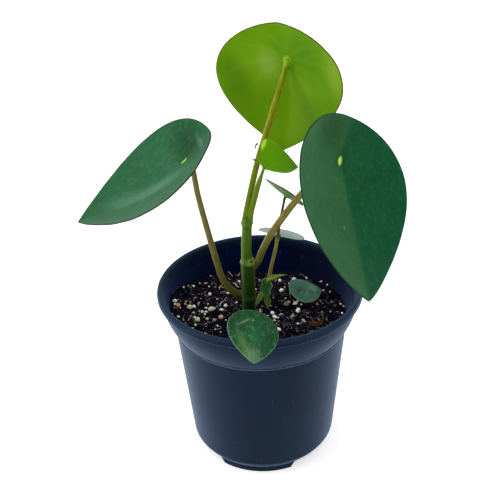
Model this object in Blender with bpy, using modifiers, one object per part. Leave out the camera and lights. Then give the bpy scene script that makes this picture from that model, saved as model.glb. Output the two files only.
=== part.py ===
"""Potted peperomia: a young raindrop-leaf plant in a dark grower's pot.

The origin is the centre of the pot's underside, on the pot's axis, with +Z up and the plant's
front towards -Y. Driving dimensions are millimetres and become metres where a mesh is made.
A leaf is a raindrop outline warped by a formula, a stalk is a round tube along a smooth route.
"""
import math
from dataclasses import dataclass

import bmesh
import bpy
from mathutils import Matrix, Vector, noise

MM = 0.001
GAP = 0.3            # clearance between pieces that touch
MERGE = 0.00001      # metres: vertices nearer than this are one

# Pot
RIM_RADIUS = 55.0
POT_HEIGHT = 100.0
LIP_HEIGHT = 3.9
LIP_WIDTH = 3.4
NECK_RADIUS = 53.2
KINK_RADIUS = 46.6
KINK_HEIGHT = 77.3
STEP = 0.45          # how far the collar stands proud of the wall below it
COLLAR_BULGE = 1.1   # the collar swells this much between the neck and the kink
COLLAR_POINTS = 4
LEDGE_HEIGHT = 79.8  # the same step, inside the pot
LEDGE_WIDTH = 1.0
BASE_RADIUS = 40.4
BASE_HEIGHT = 7.8
FOOT_RADIUS = 37.6
FOOT_HEIGHT = 4.3
WALL = 1.2
FOOT_WALL = 1.4
PAD_RADIUS = 15.5    # the middle of the floor comes down to the ground
FLOOR = 1.3
ROUND = 0.7          # how far the pot's corners are rounded
POT_STEPS = 48
FOOT_COUNT = 3
NOTCH_WIDTH = 32.6
NOTCH_DEPTH = 14.0
NOTCH_HEIGHT = 4.25
NOTCH_TURN = -7.0    # degrees from +Y to the first notch, counter-clockwise from above
DRAIN_RADIUS = 4.0
DRAIN_AT = 29.5
HOLE_SIDES = 16

# Soil
SOIL_EDGE_HEIGHT = 80.0
SOIL_CROWN = 1.0
SOIL_LEFT_RISE = 4.6     # how much higher the soil lies at the left wall, in an even slope
SOIL_RIGHT_RISE = 1.6
SOIL_HEAP = 4.0          # how much more is heaped against the left wall
SOIL_RELIEF = 1.1
SOIL_LUMP = 7.0
SOIL_STEPS = 40
SOIL_RINGS = 8

# Main stem: its foot is buried, and a slight swelling marks each node
STEM_X = -6.3
STEM_TOP_X = -5.6
STEM_FOOT = 52.0
STEM_TOP = 137.0
STEM_LOW_RADIUS = 3.65
STEM_HIGH_RADIUS = 2.8
STEM_FOOT_RADIUS = 3.8
STEM_COLLAR = 82.0       # height at which the buried foot ends
STEM_LEAN_FROM = 78.0
NODE_HEIGHTS = (94.0, 114.0, 135.5)
NODE_SWELL = 1.12
NODE_REACH = 1.4         # half the height of a node's swelling
NODE_LEAD = 5.0          # how far below a node the stem is still plain
HOLE_SLACK = 0.3

# Leaves
BLADE_THICK = 1.2
SMALL_BLADE_THICK = 0.9
FOLD_SOFTNESS = 0.03     # of the length: how round the fold along the midrib is
WIDEST = 0.77            # largest value of sin(t) * sin(t / 2)
TEETH = 7                # notches round a torn margin


@dataclass(frozen=True)
class Leaf:
    """One blade: where its stalk meets it, which way it points and how it is curved."""

    name: str
    seat: tuple            # the top skin over the end of the stalk
    heading: float         # degrees, from +X, of the line from the seat to the tip
    rise: float            # degrees that the tip points above the horizon
    roll: float            # degrees that the blade is turned about that line
    length: float
    width: float           # of the length
    seat_ratio: float      # of the length, from the round end to the seat
    bow: float = 0.0       # droop along the blade
    arch: float = 0.0      # droop across the blade
    fold: float = 0.0      # rise of each half from the midrib
    sweep: float = 0.0     # sideways bend of the midrib
    taper: float = 0.9     # how pointed the tip is
    thick: float = SMALL_BLADE_THICK
    steps: int = 28        # facets round the margin
    rings: int = 4         # facets from the seat to the margin
    ragged: float = 0.0    # how far the margin is torn, as a share of its breadth
    colour: str = "leaf_green"


LEAVES = (
    Leaf("leaf_left", (-34.8, -8.0, 174.9), -168.1, -41.4, -3.5, 82.9, 0.79, 0.23,
         bow=-0.19, arch=-0.05, fold=0.23, sweep=-0.38, taper=0.83, thick=BLADE_THICK,
         steps=40, rings=5),
    Leaf("leaf_right", (39.6, -15.0, 175.4), -110.4, -57.7, -66.7, 83.8, 0.97, 0.25,
         bow=-0.54, arch=-0.34, fold=0.09, sweep=0.09, taper=0.55, thick=BLADE_THICK,
         steps=40, rings=5),
    Leaf("leaf_back", (15.3, 20.0, 214.5), 49.0, -73.4, -14.8, 73.3, 0.86, 0.28,
         bow=0.1, arch=0.19, fold=-0.24, sweep=0.27, taper=0.83, thick=BLADE_THICK,
         steps=40, rings=5, colour="leaf_bright"),
    Leaf("leaf_young", (4.4, -5.8, 169.8), -37.2, -16.2, -65.1, 22.7, 0.94, 0.38,
         bow=-0.9, arch=-0.06, fold=0.74, sweep=-0.27, taper=0.8, colour="leaf_bright"),
    Leaf("leaf_rear_upper", (15.5, 15.1, 144.0), 158.3, 29.9, 36.4, 24.3, 0.85, 0.42,
         bow=-0.13, fold=0.15),
    Leaf("leaf_rear_low", (12.1, 22.5, 117.3), 141.3, -12.2, 37.2, 28.6, 0.85, 0.46, arch=0.09),
    Leaf("leaf_front", (-3.4, -51.0, 110.9), -90.6, -24.0, -20.0, 28.6, 0.84, 0.19,
         arch=0.11, taper=0.7),
    Leaf("leaf_soil", (22.2, 10.0, 89.2), 26.8, -4.0, 16.1, 20.2, 0.86, 0.26,
         bow=0.3, arch=0.12, taper=0.7),
    Leaf("shoot_leaf_dark", (4.5, 5.8, 98.0), -60.0, -75.0, 10.0, 13.0, 0.52, 0.08,
         fold=0.5, ragged=0.16, steps=20, rings=3),
    Leaf("shoot_leaf_yellow", (4.6, 4.9, 99.6), 0.0, 14.0, 30.0, 11.0, 0.30, 0.08,
         bow=0.15, fold=0.4, steps=20, rings=3, colour="leaf_bright"),
    Leaf("shoot_leaf_olive_left", (2.0, 5.9, 89.5), -160.0, -62.0, 0.0, 9.0, 0.36, 0.08,
         fold=0.4, steps=20, rings=3, colour="leaf_olive"),
    Leaf("shoot_leaf_olive_right", (4.6, 5.0, 86.0), -80.0, -60.0, 0.0, 5.5, 0.5, 0.08,
         fold=0.4, steps=20, rings=3, colour="leaf_olive"),
)

# Stalks: each is (name, start, the points between, the leaf it carries or its end, base radius,
# tip radius). A stalk that carries a leaf reaches the blade square to its underside.
STALK_ROUNDING = 2       # extra sides to a quarter turn of a stalk
STEM_ROUNDING = 4
STALK_POINTS = 14
STALK_LEAD = 3.0         # of the base radius: length of the last bend, square to the blade
STALKS = (
    ("petiole_left", (-8.0, -0.2, 92.9), ((-13.0, -1.1, 94.6), (-17.8, -2.0, 100.2),
     (-20.7, -2.5, 108.3), (-24.5, -3.5, 127.8), (-28.6, -5.0, 154.1)), "leaf_left", 1.6, 1.15),
    ("petiole_right", (-4.0, -0.2, 109.4), ((-0.4, -0.7, 114.2), (2.6, -1.3, 121.6),
     (8.6, -3.0, 133.7), (21.1, -6.5, 153.1), (29.7, -9.0, 163.6)), "leaf_right", 1.75, 1.3),
    ("petiole_back", (-6.75, 0.3, 137.35), ((-5.2, 1.2, 145.6), (0.1, 5.0, 166.2),
     (5.5, 9.5, 182.1), (10.6, 14.0, 197.6)), "leaf_back", 1.5, 0.85),
    ("petiole_young", (-3.95, -0.5, 137.35), ((-3.3, -0.8, 142.1), (-0.7, -1.0, 150.9),
     (0.8, -2.6, 157.4), (2.2, -4.4, 163.3), (3.3, -6.2, 167.8)), (3.6, -6.8, 169.2), 0.95, 0.75),
    ("side_stem", (3.3, 8.0, 72.0), ((3.3, 8.0, 78.0), (3.5, 8.0, 84.0), (5.2, 8.0, 98.5),
     (8.8, 9.0, 114.4)), (10.1, 9.7, 122.2), 1.15, 0.95),
    ("petiole_rear_upper", (10.25, 9.8, 122.6), ((11.7, 10.2, 132.0), (13.0, 11.0, 138.0)),
     "leaf_rear_upper", 0.75, 0.5),
    ("petiole_rear_low", (10.25, 10.9, 120.4), ((10.7, 14.5, 117.4),), "leaf_rear_low", 0.55, 0.5),
    ("petiole_front", (-5.0, -8.0, 72.0), ((-5.0, -8.0, 78.0), (-5.0, -8.2, 83.0),
     (-5.4, -14.0, 89.0), (-6.0, -32.0, 98.5)), "leaf_front", 1.0, 0.8),
    ("petiole_soil", (20.4, 12.6, 74.0), ((20.4, 12.6, 79.0),), "leaf_soil", 0.8, 0.7),
)
PLANTED = ("side_stem", "petiole_front", "petiole_soil")
SADDLED = ("petiole_left", "petiole_right")     # they start in the main stem and are cut to fit it

# Dried tips of the young leaf: each is (name, route, base radius, tip radius)
DRIED_TIPS = (
    ("dried_tip_upper", ((1.1, -0.7, 179.7), (0.1, -1.0, 179.1), (-0.2, -1.4, 177.5)), 0.45, 0.3),
    ("dried_tip_lower", ((-0.1, -2.9, 171.8), (-1.7, -3.0, 172.3)), 0.5, 0.3),
)
DRIED_POINTS = 7

FINISHES = {
    # name: colour (linear red, green, blue), roughness
    "pot_plastic": ((0.016, 0.026, 0.050), 0.45),
    "soil": ((0.014, 0.010, 0.010), 0.95),
    "stem_green": ((0.070, 0.170, 0.022), 0.45),
    "petiole_olive": ((0.210, 0.170, 0.045), 0.45),
    "leaf_green": ((0.022, 0.110, 0.048), 0.35),
    "leaf_bright": ((0.130, 0.300, 0.010), 0.40),
    "leaf_olive": ((0.150, 0.190, 0.020), 0.50),
    "dried_tip": ((0.090, 0.085, 0.075), 0.80),
}


def clear_scene():
    """Remove whatever the scene holds."""
    for old in list(bpy.data.objects):
        bpy.data.objects.remove(old, do_unlink=True)


def finish(name):
    """Return the material of one finish, made the first time it is asked for."""
    material = bpy.data.materials.get(name)
    if material is None:
        colour, roughness = FINISHES[name]
        material = bpy.data.materials.new(name)
        material.use_nodes = True
        shader = material.node_tree.nodes["Principled BSDF"]
        shader.inputs["Base Color"].default_value = (*colour, 1.0)
        shader.inputs["Roughness"].default_value = roughness
    return material


def add_piece(name, data, collection, finish_name):
    """Put a mesh or curve in the scene as a named object with its finish."""
    piece = bpy.data.objects.new(name, data)
    collection.objects.link(piece)
    data.materials.append(finish(finish_name))
    return piece


def add_cutter(name, mesh, cutters):
    """Put a mesh among the cutters, where it isn't drawn."""
    cutter = bpy.data.objects.new(name, mesh)
    cutters.objects.link(cutter)
    cutter.hide_render = True
    cutter.display_type = 'WIRE'
    return cutter


def cut(piece, cutter):
    """Take the cutter's volume out of the piece."""
    boolean = piece.modifiers.new(cutter.name, 'BOOLEAN')
    boolean.operation = 'DIFFERENCE'
    boolean.object = cutter
    return boolean


def mesh_from(name, bm):
    """Turn a bmesh into a mesh and free it."""
    mesh = bpy.data.meshes.new(name)
    bm.to_mesh(mesh)
    bm.free()
    return mesh


def round_cutter(name, radius, low, high, centre, cutters):
    """A plain upright cylinder that drills a round hole."""
    bm = bmesh.new()
    bmesh.ops.create_cone(bm, cap_ends=True, segments=HOLE_SIDES, radius1=radius * MM,
                          radius2=radius * MM, depth=(high - low) * MM)
    cutter = add_cutter(name, mesh_from(name, bm), cutters)
    cutter.location = (centre[0] * MM, centre[1] * MM, (low + high) / 2 * MM)
    return cutter


def wall_radius(height):
    """Outer radius that the pot's lower wall has at this height."""
    share = (height - BASE_HEIGHT) / (KINK_HEIGHT - BASE_HEIGHT)
    return BASE_RADIUS + share * (KINK_RADIUS - BASE_RADIUS)


def collar_profile(low, high):
    """The collar's outside between two points of the section, swelling outwards."""
    points = []
    for index in range(1, COLLAR_POINTS):
        share = index / COLLAR_POINTS
        swell = COLLAR_BULGE * 4 * share * (1 - share)
        points.append((high[0] + share * (low[0] - high[0]) + swell,
                       high[1] + share * (low[1] - high[1])))
    return points


def pot_profile():
    """The pot's section: up the inside from the axis, over the lip and down the outside."""
    lip_low = POT_HEIGHT - LIP_HEIGHT
    mouth = RIM_RADIUS - LIP_WIDTH
    ledge = wall_radius(LEDGE_HEIGHT) - WALL
    inside = [
        (0.0, FLOOR), (PAD_RADIUS - FLOOR, FLOOR), (PAD_RADIUS, FOOT_HEIGHT + FLOOR),
        (FOOT_RADIUS, FOOT_HEIGHT + FLOOR), (BASE_RADIUS - WALL, BASE_HEIGHT + ROUND),
        (ledge, LEDGE_HEIGHT), (ledge + LEDGE_WIDTH, LEDGE_HEIGHT + 2 * ROUND),
        (mouth, POT_HEIGHT - 2 * ROUND), (mouth + ROUND, POT_HEIGHT),
    ]
    neck = (NECK_RADIUS, lip_low - 0.1)
    kink = (KINK_RADIUS + STEP, KINK_HEIGHT + ROUND)
    outside = [
        (RIM_RADIUS - ROUND, POT_HEIGHT), (RIM_RADIUS, POT_HEIGHT - 2 * ROUND),
        (RIM_RADIUS, lip_low), neck, *collar_profile(kink, neck), kink, (KINK_RADIUS, KINK_HEIGHT),
        (BASE_RADIUS, BASE_HEIGHT), (BASE_RADIUS - ROUND, BASE_HEIGHT - 2 * ROUND),
        (FOOT_RADIUS + ROUND, FOOT_HEIGHT), (FOOT_RADIUS, FOOT_HEIGHT - ROUND),
        (FOOT_RADIUS, 0.0), (FOOT_RADIUS - FOOT_WALL, 0.0),
        (FOOT_RADIUS - FOOT_WALL, FOOT_HEIGHT), (PAD_RADIUS + FLOOR, FOOT_HEIGHT),
        (PAD_RADIUS, 0.0), (0.0, 0.0),
    ]
    return inside + outside


def inner_radius(height):
    """Radius of the pot's inside between the ledge and the mouth."""
    low, high = LEDGE_HEIGHT + 2 * ROUND, POT_HEIGHT - 2 * ROUND
    ledge = wall_radius(LEDGE_HEIGHT) - WALL
    if height < low:
        return ledge + LEDGE_WIDTH * max(0.0, (height - LEDGE_HEIGHT) / (low - LEDGE_HEIGHT))
    share = (height - low) / (high - low)
    return ledge + LEDGE_WIDTH + share * (RIM_RADIUS - LIP_WIDTH - ledge - LEDGE_WIDTH)


def profile_mesh(name, points):
    """An open chain of edges in the XZ plane, ready to be turned."""
    bm = bmesh.new()
    verts = [bm.verts.new((x * MM, 0.0, z * MM)) for x, z in points]
    for first, second in zip(verts, verts[1:]):
        bm.edges.new((first, second))
    return mesh_from(name, bm)


def build_pot(collection, cutters):
    """The turned pot, with notches between its feet and a drain hole at each notch."""
    pot = add_piece("pot", profile_mesh("pot", pot_profile()), collection, "pot_plastic")
    turn = pot.modifiers.new("Turn", 'SCREW')
    turn.steps = turn.render_steps = POT_STEPS
    turn.use_merge_vertices = True
    turn.merge_threshold = MERGE
    for index in range(FOOT_COUNT):
        angle = math.radians(90.0 + NOTCH_TURN - index * 360.0 / FOOT_COUNT)
        direction = Vector((math.cos(angle), math.sin(angle), 0.0))
        bm = bmesh.new()
        bmesh.ops.create_cube(bm, size=1.0, matrix=Matrix.Diagonal(
            (NOTCH_DEPTH * MM, NOTCH_WIDTH * MM, 2 * NOTCH_HEIGHT * MM, 1.0)))
        notch = add_cutter(f"notch_{index}", mesh_from("notch", bm), cutters)
        notch.location = direction * FOOT_RADIUS * MM
        notch.rotation_euler.z = angle
        cut(pot, notch)
        centre = direction * DRAIN_AT
        drain = round_cutter(f"drain_{index}", DRAIN_RADIUS, FOOT_HEIGHT - FLOOR,
                             FOOT_HEIGHT + 2 * FLOOR, centre, cutters)
        cut(pot, drain)
    return pot


def soil_height(x, y):
    """Height of the soil's surface over a point of the pot's plan."""
    reach = math.hypot(x, y) / (KINK_RADIUS - WALL)
    lumps = noise.noise(Vector((x / SOIL_LUMP, y / SOIL_LUMP, 0.5)))
    side = abs(x) / KINK_RADIUS
    slope = SOIL_RIGHT_RISE * side if x > 0 else SOIL_LEFT_RISE * side + SOIL_HEAP * side ** 6
    return SOIL_EDGE_HEIGHT + SOIL_CROWN * (1 - reach ** 2) + slope + SOIL_RELIEF * lumps


def soil_edge(direction):
    """Radius at which the soil's surface meets the pot's inside, in one direction."""
    radius = KINK_RADIUS
    for _ in range(4):
        radius = inner_radius(soil_height(direction.x * radius, direction.y * radius)) - GAP
    return radius


def build_soil(collection, cutters, holes):
    """The filling of the pot: a turned plug with a lumpy top and a hole for each stem."""
    slack = FLOOR + GAP
    shoulder = LEDGE_HEIGHT - 3 * GAP
    shares = [(ring / SOIL_RINGS / MM, SOIL_EDGE_HEIGHT) for ring in range(SOIL_RINGS + 1)]
    below = [
        (wall_radius(shoulder) - WALL - 2 * GAP, shoulder),
        (BASE_RADIUS - WALL - GAP, BASE_HEIGHT + ROUND),
        (FOOT_RADIUS - GAP, FOOT_HEIGHT + slack), (PAD_RADIUS - GAP, FOOT_HEIGHT + slack),
        (PAD_RADIUS - FLOOR - 2 * GAP, slack), (0.0, slack),
    ]
    bm = bmesh.new()
    verts = [bm.verts.new((x * MM, 0.0, z * MM)) for x, z in shares + below]
    chain = [bm.edges.new(pair) for pair in zip(verts, verts[1:])]
    bmesh.ops.spin(bm, geom=verts + chain, axis=(0, 0, 1), cent=(0, 0, 0), dvec=(0, 0, 0),
                   angle=math.tau, steps=SOIL_STEPS, use_merge=True)
    bmesh.ops.remove_doubles(bm, verts=bm.verts, dist=MERGE)
    top = SOIL_EDGE_HEIGHT * MM - MERGE
    for vert in bm.verts:
        if vert.co.z > top:
            share = math.hypot(vert.co.x, vert.co.y)
            if share > 0.0:
                direction = Vector((vert.co.x, vert.co.y)) / share
                x, y = direction * soil_edge(direction) * share
            else:
                x, y = 0.0, 0.0
            vert.co = Vector((x, y, soil_height(x, y))) * MM
    bmesh.ops.triangulate(bm, faces=bm.faces)
    bmesh.ops.recalc_face_normals(bm, faces=bm.faces)
    soil = add_piece("soil", mesh_from("soil", bm), collection, "soil")
    for name, radius, low, centre in holes:
        cut(soil, round_cutter(f"hole_{name}", radius, low, POT_HEIGHT, centre, cutters))
    return soil


def smooth_route(points, count):
    """Even steps along a smooth curve (Catmull-Rom) through the points."""
    knots = [Vector(p) for p in points]
    padded = [2 * knots[0] - knots[1], *knots, 2 * knots[-1] - knots[-2]]
    dense = []
    for p0, p1, p2, p3 in zip(padded, padded[1:], padded[2:], padded[3:]):
        steps = max(4, round((p2 - p1).length))
        for step in range(steps):
            t = step / steps
            dense.append(0.5 * (2 * p1 + (p2 - p0) * t + (2 * p0 - 5 * p1 + 4 * p2 - p3) * t ** 2
                                + (3 * p1 - p0 - 3 * p2 + p3) * t ** 3))
    dense.append(knots[-1])
    lengths = [0.0]
    for first, second in zip(dense, dense[1:]):
        lengths.append(lengths[-1] + (second - first).length)
    route = []
    for index in range(count):
        goal = lengths[-1] * index / (count - 1)
        after = next(i for i, length in enumerate(lengths) if length >= goal - 1e-9)
        if after == 0:
            route.append(dense[0])
            continue
        share = (goal - lengths[after - 1]) / (lengths[after] - lengths[after - 1])
        route.append(dense[after - 1].lerp(dense[after], share))
    return route


def add_tube(name, route, radii, collection, finish_name, rounding=STALK_ROUNDING):
    """A round tube with flat ends along the route, with its own radius at each point."""
    widest = max(radii)
    curve = bpy.data.curves.new(name, 'CURVE')
    curve.dimensions = '3D'
    curve.bevel_depth = widest * MM
    curve.bevel_resolution = rounding
    curve.use_fill_caps = True
    spline = curve.splines.new('POLY')
    spline.points.add(len(route) - 1)
    for point, place, radius in zip(spline.points, route, radii):
        point.co = (*(place * MM), 1.0)
        point.radius = radius / widest
    return add_piece(name, curve, collection, finish_name)


def tube_to_mesh(tube, collection):
    """Turn a tube's curve into a closed mesh object of the same name."""
    name, home, finish_name = tube.name, tube.matrix_world.copy(), tube.data.materials[0].name
    evaluated = tube.evaluated_get(bpy.context.evaluated_depsgraph_get())
    mesh = bpy.data.meshes.new_from_object(evaluated)
    bpy.data.objects.remove(tube, do_unlink=True)
    bm = bmesh.new()
    bm.from_mesh(mesh)
    bmesh.ops.remove_doubles(bm, verts=bm.verts, dist=MERGE)
    bmesh.ops.recalc_face_normals(bm, faces=bm.faces)
    bm.to_mesh(mesh)
    bm.free()
    mesh.materials.clear()
    piece = add_piece(name, mesh, collection, finish_name)
    piece.matrix_world = home
    return piece


def taper_radii(base, tip, count):
    """Radii that shrink evenly from base to tip."""
    return [base + (tip - base) * index / (count - 1) for index in range(count)]


def main_stem_course():
    """The main stem's route and its radius at each point, from its buried foot to the top node."""
    heights = [STEM_FOOT, STEM_LEAN_FROM, STEM_COLLAR]
    for node in NODE_HEIGHTS:
        heights += [node - NODE_LEAD, node - NODE_REACH, node, node + NODE_REACH]
    heights[-1] = STEM_TOP
    route, radii = [], []
    middle = NODE_HEIGHTS[1]
    for height in heights:
        share = max(0.0, (height - STEM_COLLAR) / (STEM_TOP - STEM_COLLAR))
        route.append(Vector((STEM_X + (STEM_TOP_X - STEM_X) * share, 0.0, height)))
        radius = STEM_LOW_RADIUS if height <= middle else STEM_HIGH_RADIUS
        if height <= STEM_COLLAR:
            radius = STEM_FOOT_RADIUS
        swell = NODE_SWELL if height in NODE_HEIGHTS else 1.0
        radii.append(radius * swell)
    return route, radii


def build_main_stem(collection, cutters):
    """The upright stem, and a slightly wider copy that cuts the stalks which grow from it."""
    route, radii = main_stem_course()
    add_tube("main_stem", route, radii, collection, "stem_green", STEM_ROUNDING)
    wider = [radius + GAP for radius in radii]
    saddle = add_tube("stem_saddle", route, wider, cutters, "stem_green", STEM_ROUNDING)
    saddle = tube_to_mesh(saddle, cutters)
    saddle.hide_render = True
    saddle.display_type = 'WIRE'
    return saddle


def leaf_axes(leaf):
    """The blade's directions: to the tip, across, and out of its top side."""
    heading, rise, roll = (math.radians(a) for a in (leaf.heading, leaf.rise, leaf.roll))
    along = Vector((math.cos(rise) * math.cos(heading), math.cos(rise) * math.sin(heading),
                    math.sin(rise)))
    level = Vector((-math.sin(heading), math.cos(heading), 0.0))
    upright = along.cross(level)
    out = math.cos(roll) * upright + math.sin(roll) * along.cross(upright)
    return along, out.cross(along), out


def blade_point(leaf, share, turn):
    """A point of the top skin: share runs from the seat to the margin, turn goes round it."""
    half = leaf.length / 2
    breadth = leaf.width * half / WIDEST
    edge = 1.0 + leaf.ragged * math.sin(TEETH * turn) * math.sin(turn / 2)
    along = half * math.cos(turn) + leaf.length * (0.5 - leaf.seat_ratio)
    across = breadth * math.sin(turn) * abs(math.sin(turn / 2)) ** leaf.taper * edge
    u, v = share * along, share * across
    soft = FOLD_SOFTNESS * leaf.length
    lift = leaf.fold * (math.hypot(v, soft) - soft)
    lift -= (leaf.bow * u * u + leaf.arch * v * v) / leaf.length
    return Vector((u, v + leaf.sweep * u * u / leaf.length, lift))


def build_leaf(leaf, collection):
    """A thin blade: a polar disc warped to the leaf's form, then given its thickness."""
    bm = bmesh.new()
    verts = [bm.verts.new((ring / leaf.rings, 0.0, 0.0)) for ring in range(leaf.rings + 1)]
    spokes = [bm.edges.new(pair) for pair in zip(verts, verts[1:])]
    bmesh.ops.spin(bm, geom=verts + spokes, axis=(0, 0, 1), cent=(0, 0, 0), dvec=(0, 0, 0),
                   angle=math.tau, steps=leaf.steps, use_merge=True)
    bmesh.ops.remove_doubles(bm, verts=bm.verts, dist=MERGE)
    bmesh.ops.triangulate(bm, faces=bm.faces)
    bm.normal_update()
    upside_down = [face for face in bm.faces if face.normal.z < 0]
    bmesh.ops.reverse_faces(bm, faces=upside_down)
    for vert in bm.verts:
        share = vert.co.length
        vert.co = blade_point(leaf, share, math.atan2(vert.co.y, vert.co.x) % math.tau) * MM
    mesh = mesh_from(leaf.name, bm)
    mesh.shade_smooth()
    piece = add_piece(leaf.name, mesh, collection, leaf.colour)
    along, across, out = leaf_axes(leaf)
    turn = Matrix((along, across, out)).transposed().to_4x4()
    piece.matrix_world = Matrix.Translation(Vector(leaf.seat) * MM) @ turn
    skin = piece.modifiers.new("Thickness", 'SOLIDIFY')
    skin.thickness = leaf.thick * MM
    skin.offset = -1.0
    return piece


def build_stalk(spec, leaves, collection, saddle):
    """A leaf stalk or side stem; one that carries a leaf ends just below its blade."""
    name, start, between, end, base, tip = spec
    points = [start, *between]
    if isinstance(end, str):
        leaf = leaves[end]
        out = leaf_axes(leaf)[2]
        seat = Vector(leaf.seat)
        under = seat - out * (leaf.thick + GAP)
        points += [under - out * STALK_LEAD * base, under]
    else:
        points.append(end)
    route = smooth_route(points, STALK_POINTS)
    finish_name = "stem_green" if name == "side_stem" else "petiole_olive"
    stalk = add_tube(name, route, taper_radii(base, tip, STALK_POINTS), collection, finish_name)
    if name in SADDLED:
        stalk = tube_to_mesh(stalk, collection)
        cut(stalk, saddle)
    return stalk


def stem_holes():
    """The plain holes that the stems stand in: name, radius, depth and centre."""
    holes = [("main_stem", STEM_FOOT_RADIUS + HOLE_SLACK, STEM_FOOT - GAP, (STEM_X, 0.0))]
    for name, start, _, _, base, _ in STALKS:
        if name in PLANTED:
            holes.append((name, base + 2 * HOLE_SLACK, start[2] - GAP, start[:2]))
    return holes


def main():
    """Build the pot, the soil and the plant."""
    clear_scene()
    collection = bpy.data.collections.new("potted_peperomia")
    cutters = bpy.data.collections.new("cutters")
    for group in (collection, cutters):
        bpy.context.scene.collection.children.link(group)
    build_pot(collection, cutters)
    build_soil(collection, cutters, stem_holes())
    saddle = build_main_stem(collection, cutters)
    leaves = {leaf.name: leaf for leaf in LEAVES}
    for leaf in LEAVES:
        build_leaf(leaf, collection)
    for spec in STALKS:
        build_stalk(spec, leaves, collection, saddle)
    for name, points, base, tip in DRIED_TIPS:
        add_tube(name, smooth_route(points, DRIED_POINTS), taper_radii(base, tip, DRIED_POINTS),
                 collection, "dried_tip")


main()
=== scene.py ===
"""Potted peperomia: its leaves, stalks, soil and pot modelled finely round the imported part.

Lengths are millimetres until a mesh is made, which is in metres. The plant's front is towards -Y,
the pot's axis is Z and the pot stands at Z = 0. A leaf is a raindrop outline warped by a formula,
a stalk is a ring of points swept along a smooth route, and the pot and the soil are turned.
"""

import json
import logging
import math
import random
from collections.abc import Callable, Iterator, Sequence
from dataclasses import dataclass
from enum import Enum

import bmesh
import bpy
from bmesh.types import BMEdge, BMesh, BMVert
from mathutils import Matrix, Quaternion, Vector, noise


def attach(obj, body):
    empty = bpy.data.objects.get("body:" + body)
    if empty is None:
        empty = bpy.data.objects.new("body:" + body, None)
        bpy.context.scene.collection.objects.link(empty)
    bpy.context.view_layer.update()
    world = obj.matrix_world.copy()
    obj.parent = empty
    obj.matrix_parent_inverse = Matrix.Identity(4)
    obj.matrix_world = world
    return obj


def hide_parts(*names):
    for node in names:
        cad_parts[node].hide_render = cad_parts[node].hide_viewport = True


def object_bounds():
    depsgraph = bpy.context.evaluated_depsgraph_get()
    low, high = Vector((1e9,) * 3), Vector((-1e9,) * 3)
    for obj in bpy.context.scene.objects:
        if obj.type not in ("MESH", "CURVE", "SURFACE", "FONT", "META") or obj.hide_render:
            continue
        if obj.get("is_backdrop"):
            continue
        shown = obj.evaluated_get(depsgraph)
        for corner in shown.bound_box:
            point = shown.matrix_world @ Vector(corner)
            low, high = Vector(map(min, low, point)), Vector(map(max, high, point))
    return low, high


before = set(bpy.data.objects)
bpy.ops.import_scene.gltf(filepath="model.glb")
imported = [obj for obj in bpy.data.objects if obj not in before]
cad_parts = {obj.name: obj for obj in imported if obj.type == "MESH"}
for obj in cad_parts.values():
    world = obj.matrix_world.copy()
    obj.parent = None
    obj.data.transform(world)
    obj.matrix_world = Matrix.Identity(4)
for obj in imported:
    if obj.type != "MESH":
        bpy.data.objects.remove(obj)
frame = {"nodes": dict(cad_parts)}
cad_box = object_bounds()

log = logging.getLogger("potted_peperomia")

MM = 0.001
MERGE = 0.00001          # metres: vertices nearer than this are one
GAP = 0.3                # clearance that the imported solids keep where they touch
SEED = 11
DOME = 0.8               # length of a tube's rounded end, of its radius
DOME_ANGLES = (30, 55, 75, 86)
ROUND_STEPS = 4          # points on each rounded corner of a section
BODY = "root"

Colour = tuple[float, float, float]
Pair = tuple[float, float]
Triple = tuple[float, float, float]
Input = bpy.types.NodeSocket | float | Sequence[float]


def screen(red: int, green: int, blue: int) -> Colour:
    """Turn a colour read off a screen into linear light.

    Args:
        red: Red, from 0 to 255.
        green: Green, from 0 to 255.
        blue: Blue, from 0 to 255.

    Returns:
        The same colour as linear red, green and blue.
    """
    def straighten(level: int) -> float:
        """Undo the screen's curve for one channel."""
        share = level / 255
        return share / 12.92 if share <= 0.04045 else ((share + 0.055) / 1.055) ** 2.4

    return straighten(red), straighten(green), straighten(blue)


def ease(value: float, start: float, end: float) -> float:
    """Go smoothly from 0 at start to 1 at end, which may be less than start."""
    share = min(1.0, max(0.0, (value - start) / (end - start)))
    return share * share * (3 - 2 * share)


def bell(value: float, centre: float, width: float) -> float:
    """A smooth hump of height 1 at the centre, nearly gone two widths away."""
    return math.exp(-((value - centre) / width) ** 2)


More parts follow.
